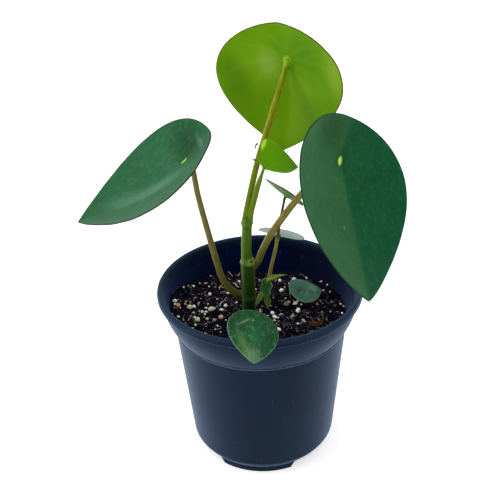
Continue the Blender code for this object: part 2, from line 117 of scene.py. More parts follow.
class Tree:
    """A node tree, built from small steps that return their output socket."""

    def __init__(self, tree: bpy.types.NodeTree) -> None:
        """Take up a tree."""
        self.tree = tree

    def feed(self, socket: bpy.types.NodeSocket, value: Input) -> None:
        """Link another step's socket, or set a plain value.

        Args:
            socket: The input to fill.
            value: A socket, a number, a vector or a colour without its alpha.
        """
        if isinstance(value, bpy.types.NodeSocket):
            self.tree.links.new(value, socket)
        elif socket.type == 'RGBA':
            socket.default_value = (*value, 1.0)
        else:
            socket.default_value = value

    def step(self, kind: str, inputs: dict[int | str, Input], **settings: object) -> bpy.types.Node:
        """Add one node.

        Args:
            kind: The node's type.
            inputs: What each input takes, by its name or number.
            **settings: The node's own settings.

        Returns:
            The node.
        """
        node = self.tree.nodes.new(kind)
        for key, value in settings.items():
            setattr(node, key, value)
        for key, value in inputs.items():
            self.feed(node.inputs[key], value)
        return node

    def math(self, operation: str, *values: Input, clamp: bool = False) -> bpy.types.NodeSocket:
        """One sum, product or other operation on numbers."""
        return self.step("ShaderNodeMath", dict(enumerate(values)), operation=operation,
                         use_clamp=clamp).outputs[0]

    def product(self, *values: Input) -> bpy.types.NodeSocket:
        """Multiply two or more numbers."""
        total = values[0]
        for value in values[1:]:
            total = self.math('MULTIPLY', total, value)
        return total

    def fade(self, value: Input, start: float, end: float, low: float = 0.0,
             high: float = 1.0) -> bpy.types.NodeSocket:
        """Go smoothly from low, at start, to high, at end, which may be less than start."""
        return self.step("ShaderNodeMapRange", {
            "Value": value, "From Min": start, "From Max": end, "To Min": low, "To Max": high},
            interpolation_type='SMOOTHSTEP').outputs[0]

    def band(self, value: Input, centre: float, outer: float, inner: float, low: float = 0.0,
             high: float = 1.0) -> bpy.types.NodeSocket:
        """Go from high, within inner of a centre, to low, beyond outer of it."""
        away = self.math('ABSOLUTE', self.math('SUBTRACT', value, centre))
        return self.fade(away, outer, inner, low, high)

    def mix(self, amount: Input, low: Input, high: Input,
            blend: str = 'MIX') -> bpy.types.NodeSocket:
        """Blend two colours: none of the second at an amount of 0, and all of it at 1."""
        return self.step("ShaderNodeMix", {0: amount, 6: low, 7: high}, data_type='RGBA',
                         blend_type=blend).outputs[2]

    def layered(self, colour: Input, *layers: tuple[Input, ...]) -> Input:
        """Lay colours over a colour.

        Args:
            colour: The colour below.
            *layers: For each, its colour and the masks that are multiplied into its amount.

        Returns:
            The colour with the layers on it.
        """
        for tint, *masks in layers:
            colour = self.mix(self.product(*masks), colour, tint)
        return colour

    def dulled(self, colour: Input, factors: Colour, amount: Input) -> bpy.types.NodeSocket:
        """Multiply a colour by a factor for each channel, as far as the amount says."""
        return self.mix(amount, colour, factors, 'MULTIPLY')

    def spread(self, place: Input, scale: Sequence[float],
               shift: Sequence[float] = (0.0, 0.0, 0.0)) -> bpy.types.NodeSocket:
        """Scale, then shift a place."""
        return self.step("ShaderNodeMapping", {
            "Vector": place, "Scale": scale, "Location": shift}).outputs[0]

    def oval(self, place: Input, centre: Sequence[float], size: Sequence[float],
             turn: float = 0.0, core: float = 0.25) -> bpy.types.NodeSocket:
        """A soft-edged oval mask.

        Args:
            place: The coordinates that it lies in.
            centre: Its middle.
            size: Its half-axes.
            turn: Degrees that it is turned about Z.
            core: Share of the half-axes within which the mask is full.

        Returns:
            1 inside, falling to 0 at the half-axes.
        """
        local = self.step("ShaderNodeMapping", {
            "Vector": place, "Location": centre, "Rotation": (0.0, 0.0, math.radians(turn)),
            "Scale": size}, vector_type='TEXTURE').outputs[0]
        away = self.step("ShaderNodeVectorMath", {0: local}, operation='LENGTH').outputs["Value"]
        return self.fade(away, 1.0, core)

    def cloud(self, place: Input, scale: float, detail: float = 3.0, rough: float = 0.55,
              warp: float = 0.0) -> bpy.types.NodeSocket:
        """Cloudy noise about one half."""
        return self.step("ShaderNodeTexNoise", {
            "Vector": place, "Scale": scale, "Detail": detail, "Roughness": rough,
            "Distortion": warp}).outputs[0]

    def dots(self, place: Input, scale: float, size: float, share: float) -> bpy.types.NodeSocket:
        """Scattered small dots.

        Args:
            place: The coordinates that they lie in.
            scale: Cells to a unit of those coordinates.
            size: A dot's radius, of a cell.
            share: Share of the cells that hold a dot.

        Returns:
            1 in a dot and 0 elsewhere.
        """
        cells = self.step("ShaderNodeTexVoronoi", {"Vector": place, "Scale": scale})
        kept = self.step("ShaderNodeSeparateColor", {0: cells.outputs["Color"]}).outputs[0]
        return self.product(self.fade(cells.outputs["Distance"], size, size * 0.4),
                            self.math('LESS_THAN', kept, share))

    def split(self, place: Input) -> tuple[bpy.types.NodeSocket, ...]:
        """The X, Y and Z of a place."""
        return tuple(self.step("ShaderNodeSeparateXYZ", {0: place}).outputs)


class Graph(Tree):
    """The node tree of one material."""

    def __init__(self, name: str, roughness: float = 0.5, specular: float = 0.5) -> None:
        """Start a material.

        Args:
            name: The material's name.
            roughness: Roughness of the whole surface, unless a pattern is fed in later.
            specular: How strongly the surface reflects when seen face on.
        """
        self.material = bpy.data.materials.new(name)
        self.material.use_nodes = True
        super().__init__(self.material.node_tree)
        self.shader = self.tree.nodes["Principled BSDF"]
        self.shader.inputs["Roughness"].default_value = roughness
        self.shader.inputs["Specular IOR Level"].default_value = specular

    def attribute(self, name: str) -> bpy.types.NodeSocket:
        """Read a number that is stored on the mesh."""
        return self.step("ShaderNodeAttribute", {}, attribute_name=name).outputs["Fac"]

    def uv(self, name: str) -> bpy.types.NodeSocket:
        """Read a UV map of the mesh."""
        return self.step("ShaderNodeUVMap", {}, uv_map=name).outputs[0]

    def object_place(self) -> bpy.types.NodeSocket:
        """Read the place in the object's own coordinates, in millimetres."""
        place = self.step("ShaderNodeTexCoord", {}).outputs["Object"]
        return self.spread(place, (1 / MM,) * 3)

    def relief(self, height: Input, depth: float, strength: float) -> bpy.types.NodeSocket:
        """Turn a height from 0 to 1, the latter so many millimetres deep, into a normal."""
        return self.step("ShaderNodeBump", {
            "Height": height, "Distance": depth * MM, "Strength": strength}).outputs[0]

    def lit(self, colour: Input, strength: float) -> None:
        """Let the surface give off a little light of its own."""
        self.feed(self.shader.inputs["Emission Color"], colour)
        self.shader.inputs["Emission Strength"].default_value = strength

    def fleshy(self, weight: float, radius: Triple) -> None:
        """Let light sink about a millimetre into the surface."""
        for key, value in (("Weight", weight), ("Radius", radius), ("Scale", MM)):
            self.shader.inputs["Subsurface " + key].default_value = value

    def done(self, colour: Input, roughness: Input | None = None,
             normal: bpy.types.NodeSocket | None = None) -> bpy.types.Material:
        """Feed the shader and return the material.

        Args:
            colour: The surface's colour.
            roughness: Its roughness, where a pattern varies it.
            normal: Its normal, where relief changes it.

        Returns:
            The finished material.
        """
        self.feed(self.shader.inputs["Base Color"], colour)
        if roughness is not None:
            self.feed(self.shader.inputs["Roughness"], roughness)
        if normal is not None:
            self.feed(self.shader.inputs["Normal"], normal)
        return self.material


def smooth_route(points: Sequence[Triple], spacing: float) -> list[Vector]:
    """Even steps along a smooth curve (Catmull-Rom) through the points.

    Args:
        points: The points that the curve passes through.
        spacing: The wanted distance between steps.

    Returns:
        Points along the curve, from the first to the last.
    """
    knots = [Vector(p) for p in points]
    padded = [2 * knots[0] - knots[1], *knots, 2 * knots[-1] - knots[-2]]
    dense: list[Vector] = []
    for p0, p1, p2, p3 in zip(padded, padded[1:], padded[2:], padded[3:]):
        steps = max(4, round((p2 - p1).length * 2))
        for index in range(steps):
            t = index / steps
            dense.append(0.5 * (2 * p1 + (p2 - p0) * t + (2 * p0 - 5 * p1 + 4 * p2 - p3) * t ** 2
                                + (3 * p1 - p0 - 3 * p2 + p3) * t ** 3))
    dense.append(knots[-1])
    lengths = [0.0]
    for first, second in zip(dense, dense[1:]):
        lengths.append(lengths[-1] + (second - first).length)
    count = max(3, round(lengths[-1] / spacing) + 1)
    route, after = [], 1
    for index in range(count):
        goal = lengths[-1] * index / (count - 1)
        while after < len(lengths) - 1 and lengths[after] < goal:
            after += 1
        share = (goal - lengths[after - 1]) / (lengths[after] - lengths[after - 1])
        route.append(dense[after - 1].lerp(dense[after], min(1.0, share)))
    return route


def ring_frames(route: Sequence[Vector], radii: Sequence[float], facing: Triple) -> list[Matrix]:
    """Place a unit ring square to the route at each of its points, without twist.

    Args:
        route: The points.
        radii: The ring's radius at each point.
        facing: The direction that the ring's first axis starts nearest to.

    Returns:
        A matrix for each point, in millimetres.
    """
    placed = []
    side = Vector(facing)
    last = len(route) - 1
    for index, (point, radius) in enumerate(zip(route, radii)):
        ahead = (route[min(index + 1, last)] - route[max(index - 1, 0)]).normalized()
        side = (side - ahead * side.dot(ahead)).normalized()
        turn = Matrix((side, ahead.cross(side), ahead)).transposed() * radius
        placed.append(Matrix.Translation(point) @ turn.to_4x4())
    return placed


def sweep(route: Sequence[Vector], radii: Sequence[float], sides: int,
          facing: Triple = (0.0, -1.0, 0.0),
          shape: Callable[[float, float], float] | None = None) -> BMesh:
    """Sweep a ring along a route into a closed tube, in metres.

    The tube has a UV map named stalk, with the turn round it (one half at the front, a seam at the
    back) and the share of its length, and the latter as an attribute too.

    Args:
        route: The points that the tube follows.
        radii: Its radius at each.
        sides: How many sides it has.
        facing: The direction that its front looks in.
        shape: Gives a factor on the radius for a share of the length and a turn round the tube.

    Returns:
        The tube.
    """
    bm = bmesh.new()
    along_of = bm.verts.layers.float.new("along")
    turn_of = bm.verts.layers.float.new("turn")
    places = ring_frames(route, radii, facing)
    ring = bmesh.ops.create_circle(bm, cap_ends=True, segments=sides, radius=1.0)["verts"]
    for vert in ring:
        vert[turn_of] = (math.atan2(vert.co.y, vert.co.x) / math.tau + 0.5) % 1.0
    bmesh.ops.transform(bm, matrix=places[0], verts=ring)
    rings, edges = [ring], list(bm.edges)
    for index in range(1, len(places)):
        grown = bmesh.ops.extrude_edge_only(bm, edges=edges)["geom"]
        ring = [item for item in grown if isinstance(item, BMVert)]
        fresh = set(ring)
        edges = [item for item in grown
                 if isinstance(item, BMEdge) and fresh.issuperset(item.verts)]
        for vert in ring:
            vert[along_of] = index / (len(places) - 1)
        bmesh.ops.transform(bm, matrix=places[index] @ places[index - 1].inverted(), verts=ring)
        rings.append(ring)
    bmesh.ops.contextual_create(bm, geom=edges)
    if shape is not None:
        for centre, ring in zip(route, rings):
            for vert in ring:
                vert.co = centre + (vert.co - centre) * shape(vert[along_of], vert[turn_of])
    bmesh.ops.scale(bm, vec=(MM,) * 3, verts=bm.verts)
    bmesh.ops.recalc_face_normals(bm, faces=bm.faces)
    map_of = bm.loops.layers.uv.new("stalk")
    for face in bm.faces:
        turns = [vert[turn_of] for vert in face.verts]
        wraps = max(turns) - min(turns) > 0.5
        for loop in face.loops:
            turn = loop.vert[turn_of]
            loop[map_of].uv = (turn + 1.0 if wraps and turn < 0.5 else turn, loop.vert[along_of])
    bm.verts.layers.float.remove(bm.verts.layers.float["turn"])
    return bm


def domed(route: list[Vector], radii: list[float]) -> tuple[list[Vector], list[float]]:
    """Round off the far end of a tube.

    Args:
        route: The tube's points.
        radii: Its radii.

    Returns:
        The longer route and its radii.
    """
    ahead = (route[-1] - route[-2]).normalized()
    tip, radius = route[-1], radii[-1]
    turns = [math.radians(angle) for angle in DOME_ANGLES]
    ends = [tip + ahead * radius * DOME * math.sin(turn) for turn in turns]
    return [*route, *ends], [*radii, *(radius * math.cos(turn) for turn in turns)]


def turned(section: Sequence[Pair], steps: int) -> BMesh:
    """Turn a section about Z into a closed shape, in millimetres.

    Args:
        section: Radius and height of its points, from the axis back to the axis.
        steps: How many steps the full turn has.

    Returns:
        The turned shape, with its normals outwards.
    """
    bm = bmesh.new()
    verts = [bm.verts.new((radius, 0.0, height)) for radius, height in section]
    chain = [bm.edges.new(pair) for pair in zip(verts, verts[1:])]
    bmesh.ops.spin(bm, geom=verts + chain, axis=(0, 0, 1), cent=(0, 0, 0), dvec=(0, 0, 0),
                   angle=math.tau, steps=steps, use_merge=True)
    bmesh.ops.remove_doubles(bm, verts=bm.verts, dist=MERGE)
    bmesh.ops.recalc_face_normals(bm, faces=bm.faces)
    return bm


def rounded(corners: Sequence[Triple]) -> list[Pair]:
    """Round the corners of a section.

    Args:
        corners: Radius, height and rounding of each corner.

    Returns:
        The section's points.
    """
    points: list[Pair] = []
    last = len(corners) - 1
    for index, (radius, height, size) in enumerate(corners):
        here = Vector((radius, height))
        if size == 0.0 or index in (0, last):
            points.append(here.to_tuple())
            continue
        before = Vector(corners[index - 1][:2]) - here
        after = Vector(corners[index + 1][:2]) - here
        start = here + before * min(0.45, size / before.length)
        end = here + after * min(0.45, size / after.length)
        for step in range(ROUND_STEPS + 1):
            t = step / ROUND_STEPS
            points.append(tuple((1 - t) ** 2 * start + 2 * t * (1 - t) * here + t * t * end))
    return points


def as_mesh(name: str, bm: BMesh) -> bpy.types.Mesh:
    """Turn a bmesh into a smoothly shaded mesh and free it."""
    mesh = bpy.data.meshes.new(name)
    bm.to_mesh(mesh)
    bm.free()
    mesh.shade_smooth()
    return mesh


def in_scene(name: str, data: bpy.types.ID) -> bpy.types.Object:
    """Put an object with this mesh, lamp or camera in the scene."""
    thing = bpy.data.objects.new(name, data)
    bpy.context.scene.collection.objects.link(thing)
    return thing


def show(name: str, mesh: bpy.types.Mesh, material: bpy.types.Material, slot: str,
         *nodes: str) -> None:
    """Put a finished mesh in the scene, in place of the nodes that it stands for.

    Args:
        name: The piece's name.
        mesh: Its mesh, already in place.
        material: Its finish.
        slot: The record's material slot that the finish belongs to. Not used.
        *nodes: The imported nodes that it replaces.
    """
    piece = in_scene(name, mesh)
    mesh.materials.append(material)
    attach(piece, BODY)
    if nodes:
        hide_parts(*nodes)
    log.info("%s: %d faces", name, len(mesh.polygons))


def skewed(draw: random.Random, least: float, spread: float, power: float) -> float:
    """Draw a number between least and least + spread, most often near least."""
    return least + spread * draw.random() ** power


def bumps(x: float, y: float, size: float, layer: float) -> float:
    """Smooth random bumps of one size over the plan, from about -1 to 1."""
    return noise.noise(Vector((x / size, y / size, layer)))


@dataclass(frozen=True)
class PhotoCamera:
    """The camera that the photograph was taken with."""

    place: Triple = (0.0, -364.4, 324.9)
    yaw: float = -0.72           # degrees from +Y, towards +X
    pitch: float = 29.33         # degrees below the horizon
    roll: float = -1.97          # degrees, counter-clockwise as the camera sees it
    lens: float = 57.6
    sensor: float = 36.0
    frame: float = 500.0         # pixels on each side of the photograph

    TRIES = 30                   # steps along a line of sight
    PACE = 0.7                   # share of the way left that each step takes

    def turn(self) -> Quaternion:
        """The camera's rotation."""
        yaw, pitch, roll = (math.radians(a) for a in (self.yaw, self.pitch, self.roll))
        ahead = Vector((math.sin(yaw) * math.cos(pitch), math.cos(yaw) * math.cos(pitch),
                        -math.sin(pitch)))
        return ahead.to_track_quat('-Z', 'Y') @ Quaternion((0.0, 0.0, 1.0), roll)

    def drop(self, pixel: Pair, height: Callable[[float, float], float]) -> Vector:
        """Find where the line of sight through a pixel meets a surface.

        Args:
            pixel: Across and down, in the photograph's frame.
            height: The surface's height over a point of the plan.

        Returns:
            The point on the surface.
        """
        focal = self.frame * self.lens / self.sensor
        sight = self.turn() @ Vector(((pixel[0] - self.frame / 2) / focal,
                                      (self.frame / 2 - pixel[1]) / focal, -1.0))
        eye = Vector(self.place)
        point = eye + sight * eye.z
        for _ in range(self.TRIES):
            goal = height(point.x, point.y)
            point = point + sight * ((goal - point.z) / sight.z) * self.PACE
        return point

    def build(self) -> None:
        """Make the camera and give it to the scene."""
        data = bpy.data.cameras.new("photo_camera")
        data.lens, data.sensor_width = self.lens, self.sensor
        data.clip_start, data.clip_end = 0.01, 20.0
        camera = in_scene("photo_camera", data)
        camera.location = Vector(self.place) * MM
        camera.rotation_mode = 'QUATERNION'
        camera.rotation_quaternion = self.turn()
        bpy.context.scene.camera = camera


@dataclass(frozen=True)
class Venation:
    """The main veins, which leave the seat at even angles and bend towards the tip."""

    spacing: float = 36.0        # degrees between veins at the seat
    curl: float = 0.55           # how far they bend towards the tip, at a blade's length
    width: float = 0.8           # of a groove, mm

    def distance(self, along: float, across: float, length: float) -> float:
        """Distance from a point of the blade to the nearest vein.

        Args:
            along: Millimetres from the seat towards the tip.
            across: Millimetres to the side.
            length: The blade's length.

        Returns:
            The distance, in millimetres.
        """
        reach = math.hypot(along, across)
        step = math.radians(self.spacing) * (1.0 - self.curl * reach / length)
        turn = math.atan2(across, along) / step
        return abs(turn - round(turn)) * step * reach

    def drawn(self, graph: Graph, along: Input, across: Input, reach: Input,
              length: float) -> bpy.types.NodeSocket:
        """The same distance, as steps of a material.

        Args:
            graph: The material.
            along: Millimetres from the seat towards the tip.
            across: Millimetres to the side.
            reach: Millimetres from the seat.
            length: The blade's length.

        Returns:
            The distance, in millimetres.
        """
        angle = math.radians(self.spacing)
        step = graph.math('MULTIPLY_ADD', reach, -angle * self.curl / length, angle)
        turn = graph.math('DIVIDE', graph.math('ARCTAN2', across, along), step)
        return graph.product(graph.math('PINGPONG', turn, 0.5), step, reach)


@dataclass(frozen=True)
class Patch:
    """A soft-edged oval where a blade's skin has another tone; some patches are the skin's own
    tone, and some are painted sheen, highlights, light and shade.
    """

    centre: Pair                 # mm from the seat, towards the tip and across
    size: Pair                   # half-axes, mm
    turn: float                  # degrees
    tint: Colour
    amount: float
    core: float = 0.2


@dataclass(frozen=True)
class LeafFinish:
    """How a blade is coloured and how it shines."""

    face: Colour                            # upper skin
    outer: Colour                           # upper skin towards the margin
    under: Colour                           # lower skin
    margin: Colour
    under_outer: Colour | None = None       # lower skin towards the margin, where it differs
    painted_sheen_half: Colour | None = None          # upper skin at negative across, where it differs: painted sheen, as if that half caught reflected light
    painted_sheen_mix: float = 0.0                   # how far the painted sheen half differs
    half_bow: float = 0.0                   # mm that the line between the halves bends aside
    margin_width: float = 0.5
    seat: Colour = screen(150, 190, 70)
    seat_size: Pair = (2.6, 1.3)
    vein: Colour = screen(96, 140, 100)
    vein_show: float = 0.05
    bloom: Colour = screen(150, 180, 160)   # the pale film that scuffs and specks show in
    bloom_show: float = 0.10
    streak_show: float = 0.06
    seat_shade_show: float = 0.35                 # how far the skin darkens round the seat: painted shade where it dips over the stalk
    shade_show: float = 0.35                # how far broad clouds darken the skin
    roughness: float = 0.38
    specular: float = 0.08
    glow: float = 0.0                       # light that comes through a thin blade from behind
    patches: tuple[Patch, ...] = ()
    under_patches: tuple[Patch, ...] = ()

    SEAT_SHADE = 3.2                              # size of the painted shade round the seat, of the seat

    def painted(self, graph: Graph, plane: Input, colour: Input,
                patches: tuple[Patch, ...]) -> Input:
        """Lay patches over a colour."""
        return graph.layered(colour, *(
            (patch.tint, graph.oval(plane, (*patch.centre, 0.0), (*patch.size, 1.0), patch.turn,
                                    patch.core), patch.amount)
            for patch in patches))

    def border(self, graph: Graph, along: Input, across: Input, form: "BladeForm") -> Input:
        """Distance across from the bowed line between the blade's halves, in millimetres."""
        reached = graph.math('DIVIDE', along, form.length * (1.0 - form.seat_ratio), clamp=True)
        aside = graph.product(reached, graph.math('SUBTRACT', 1.0, reached), -4 * self.half_bow)
        return graph.math('ADD', across, aside)

    def material(self, name: str, form: "BladeForm", veins: Venation) -> bpy.types.Material:
        """Build the blade's material.

        Args:
            name: The material's name.
            form: The blade's form, for its length and seat.
            veins: Its veins.

        Returns:
            The material.
        """
        graph = Graph(name, self.roughness, self.specular)
        length = form.length
        plane = graph.spread(graph.uv("leaf"), (length, length, 1.0),
                             shift=(-form.seat_ratio * length, -0.5 * length, 0.0))
        along, across, _ = graph.split(plane)
        reach = graph.step("ShaderNodeVectorMath", {0: plane}, operation='LENGTH').outputs["Value"]
        share, inset, side = (graph.attribute(key) for key in ("share", "inset", "side"))
        mottle = graph.cloud(plane, 0.32, 4.0, 0.62)
        grain = graph.cloud(plane, 1.5, 3.0, 0.6)
        streaks = graph.cloud(graph.spread(plane, (0.10, 1.1, 1.0)), 1.0, 3.0, 0.6, 0.4)
        shade = graph.fade(graph.cloud(plane, 0.055, 2.0), 0.35, 0.65, 0.0, self.shade_show)
        line = graph.product(
            graph.fade(veins.drawn(graph, along, across, reach, length), veins.width, 0.15),
            graph.fade(reach, 2.0, 6.0), graph.fade(share, 1.0, 0.55, 0.25))
        seat = graph.oval(plane, (0.0, 0.0, 0.0), (*self.seat_size, 1.0), core=0.35)
        seat_shade = graph.oval(plane, (0.0, 0.0, 0.0),
                          [self.SEAT_SHADE * size for size in (*self.seat_size, 1.0)], core=0.2)

        top = graph.mix(graph.fade(share, 0.25, 1.0), self.face, self.outer)
        # Painted sheen: one half of the upper skin lighter, as if it caught reflected light
        if self.painted_sheen_half:
            border = self.border(graph, along, across, form)
            half = graph.fade(graph.math('MULTIPLY_ADD', mottle, 1.2, border), 2.4, -1.0)
            top = graph.layered(top, (self.painted_sheen_half, half, self.painted_sheen_mix))
        top = self.painted(graph, plane, top, self.patches)
        top = graph.dulled(top, (0.62, 0.66, 0.60), shade)
        top = graph.dulled(top, (0.6, 0.72, 0.66), graph.fade(mottle, 0.55, 0.3, 0.0, 0.3))
        top = graph.layered(
            top, (self.bloom, graph.fade(mottle, 0.5, 0.72), self.bloom_show),
            (self.bloom, graph.fade(streaks, 0.52, 0.75), self.streak_show),
            (self.bloom, graph.dots(plane, 0.9, 0.22, 0.16), self.bloom_show * 1.6),
            (self.vein, line, self.vein_show))
        # Painted shade round the seat, where the skin dips over the stalk
        top = graph.dulled(top, (0.45, 0.62, 0.35), graph.product(seat_shade, self.seat_shade_show))
        top = graph.layered(top, (self.seat, seat))

        low = graph.mix(graph.fade(share, 0.3, 1.0), self.under, self.under_outer or self.under)
        low = self.painted(graph, plane, low, self.under_patches)
        low = graph.dulled(low, (0.72, 0.76, 0.6), shade)
        low = graph.layered(low, (self.vein, line, self.vein_show * 1.5),
                            (self.bloom, graph.fade(mottle, 0.55, 0.75), self.bloom_show * 0.7))

        edge = graph.fade(graph.math('MULTIPLY_ADD', mottle, 0.5, inset),
                          self.margin_width + 0.55, self.margin_width * 0.4 + 0.2)
        colour = graph.layered(low, (top, graph.fade(side, 0.3, 0.7)), (self.margin, edge))
        if self.glow:
            graph.lit(colour, self.glow)
        rough = graph.math('MULTIPLY_ADD', mottle, 0.22, self.roughness - 0.11)
        normal = graph.relief(graph.math('ADD', graph.product(grain, 0.5), mottle), 0.18, 0.55)
        return graph.done(colour, rough, normal)


@dataclass(frozen=True)
class BladeForm:
    """One blade: where its stalk meets it, which way it points and how it is curved."""

    seat: Triple                 # the top skin over the end of the stalk
    heading: float               # degrees, from +X, of the line from the seat to the tip
    rise: float                  # degrees that the tip points above the horizon
    roll: float                  # degrees that the blade is turned about that line
    length: float
    width: float                 # of the length
    seat_ratio: float            # of the length, from the round end to the seat
    bow: float = 0.0             # droop along the blade
    arch: float = 0.0            # droop across the blade
    fold: float = 0.0            # rise of each half from the midrib
    sweep: float = 0.0           # sideways bend of the midrib
    taper: float = 0.9           # how pointed the tip is
    thick: float = 0.9
    ragged: float = 0.0          # how far the margin is torn, as a share of its breadth
    nick: Triple = (0.0, 1.0, 0.0)   # turn and half width in degrees, and depth, of a nick in it
    aside: float = 0.0           # mm that the round end lies to one side of the seat

    WIDEST = 0.77                # largest value of sin(t) * sin(t / 2)
    SOFTNESS = 0.03              # of the length: how round the fold along the midrib is
    TEETH = 7                    # of a ragged margin
    NUDGE = 0.05                 # mm: step for measuring slopes

    def axes(self) -> tuple[Vector, Vector, Vector]:
        """The blade's directions: to the tip, across, and out of its top side."""
        heading, rise, roll = (math.radians(a) for a in (self.heading, self.rise, self.roll))
        along = Vector((math.cos(rise) * math.cos(heading), math.cos(rise) * math.sin(heading),
                        math.sin(rise)))
        level = Vector((-math.sin(heading), math.cos(heading), 0.0))
        upright = along.cross(level)
        out = math.cos(roll) * upright + math.sin(roll) * along.cross(upright)
        return along, out.cross(along), out

    def outline(self, turn: float) -> Vector:
        """The margin, in the blade's flat plan, at a turn round it."""
        half = self.length / 2
        breadth = self.width * half / self.WIDEST
        edge = 1.0 + self.ragged * math.sin(self.TEETH * turn) * math.sin(turn / 2)
        along = half * math.cos(turn) + self.length * (0.5 - self.seat_ratio)
        across = breadth * math.sin(turn) * abs(math.sin(turn / 2)) ** self.taper * edge
        across += self.aside * math.sin(turn / 2) ** 2
        at, wide, deep = self.nick
        away = abs(math.degrees(turn) - at) / wide
        return Vector((along, across)) * (1.0 - deep * math.exp(-away ** 4))

    def skin(self, along: float, across: float) -> Vector:
        """The top skin over a point of the flat plan, in the blade's own directions."""
        soft = self.SOFTNESS * self.length
        lift = self.fold * (math.hypot(across, soft) - soft)
        lift -= (self.bow * along ** 2 + self.arch * across ** 2) / self.length
        return Vector((along, across + self.sweep * along ** 2 / self.length, lift))

    def normal(self, along: float, across: float) -> Vector:
        """The direction out of the top skin, in the blade's own directions."""
        lengthwise = self.skin(along + self.NUDGE, across) - self.skin(along - self.NUDGE, across)
        crosswise = self.skin(along, across + self.NUDGE) - self.skin(along, across - self.NUDGE)
        return lengthwise.cross(crosswise).normalized()

    def home(self) -> Matrix:
        """Where the blade's own directions and seat lie in the frame."""
        return Matrix.Translation(Vector(self.seat)) @ Matrix(self.axes()).transposed().to_4x4()


@dataclass
class Blade:
    """A fleshy leaf blade with a rounded margin, grooved veins and a dimple over its stalk."""

    node: str
    form: BladeForm
    finish: LeafFinish
    slot: str = "leaf_green"
    rings: int = 30
    steps: int = 120
    veins: Venation = Venation()
    groove: float = 0.05               # depth of the vein grooves, mm
    waves: float = 0.22                # height of the skin's gentle unevenness, mm

    MARGIN = 0.018                     # share of the reach that the rounded margin takes
    THINNING = 0.35                    # how much thinner the blade is at its margin
    WAVE_LENGTH = 9.0                  # mm
    CROWDING = 0.85                    # below 1, the rings lie closer towards the margin
    DIMPLE = (0.35, 1.7)               # depth and half width of the dimple over the stalk, mm
    UNDER_VEIN = 1.3                   # how much deeper the veins are on the lower skin
    UNDER_DIMPLE = 1.4
    NUDGE = 0.01                       # radians: step for measuring the margin's direction

    def section(self) -> list[Pair]:
        """The blade's section, from the seat over the margin and back: share and side."""
        flat = 1.0 - self.MARGIN
        shares = [flat * (index / self.rings) ** self.CROWDING for index in range(self.rings + 1)]
        bend = [math.radians(angle) for angle in (30, 60, 90, 120, 150)]
        return ([(share, 0.5) for share in shares]
                + [(flat + self.MARGIN * math.sin(a), 0.5 * math.cos(a)) for a in bend]
                + [(share, -0.5) for share in reversed(shares)])

    def relief(self, along: float, across: float, share: float, side: float) -> float:
        """Height of the veins and waves over the smooth skin, in millimetres."""
        form = self.form
        near = self.veins.distance(along, across, form.length)
        reach = math.hypot(along, across)
        vein = math.exp(-(near / self.veins.width) ** 2) * ease(reach, 1.5, 6.0)
        vein *= 1.0 - 0.8 * ease(share, 0.5, 1.0)
        wave = noise.noise(Vector((along, across, form.length)) / self.WAVE_LENGTH) * self.waves
        deep, wide = self.DIMPLE
        dimple = deep * math.exp(-(reach / wide) ** 2)
        if side > 0:
            return wave * share - self.groove * vein - dimple
        return wave * share - self.UNDER_VEIN * self.groove * vein - self.UNDER_DIMPLE * dimple

    def mesh(self) -> bpy.types.Mesh:
        """Turn the section into a lens, then warp it to the blade's form."""
        form = self.form
        bm = turned(self.section(), self.steps)
        share_of, inset_of, side_of = (
            bm.verts.layers.float.new(key) for key in ("share", "inset", "side"))
        home = form.home()
        for vert in bm.verts:
            share, side = math.hypot(vert.co.x, vert.co.y), vert.co.z
            turn = math.atan2(vert.co.y, vert.co.x) % math.tau
            edge = form.outline(turn)
            tangent = form.outline(turn + self.NUDGE) - form.outline(turn - self.NUDGE)
            along, across = edge * share
            normal = form.normal(along, across)
            thick = form.thick * (1.0 - self.THINNING * share ** 2)
            height = (side - 0.5) * thick + self.relief(along, across, share, side)
            vert.co = home @ (form.skin(along, across) + normal * height) * MM
            vert[share_of] = share
            vert[inset_of] = (1.0 - share) * abs(edge.cross(tangent.normalized()))
            vert[side_of] = side + 0.5
        map_of = bm.loops.layers.uv.new("leaf")
        back = home.inverted()
        for face in bm.faces:
            for loop in face.loops:
                flat = back @ (loop.vert.co / MM)
                across = flat.y - form.sweep * flat.x ** 2 / form.length
                loop[map_of].uv = (form.seat_ratio + flat.x / form.length,
                                   0.5 + across / form.length)
        bmesh.ops.recalc_face_normals(bm, faces=bm.faces)
        return as_mesh(self.node + "_fine", bm)

    def build(self) -> None:
        """Make the blade and dress it."""
        material = self.finish.material(self.node + "_skin", self.form, self.veins)
        show(self.node + "_fine", self.mesh(), material, self.slot, self.node)


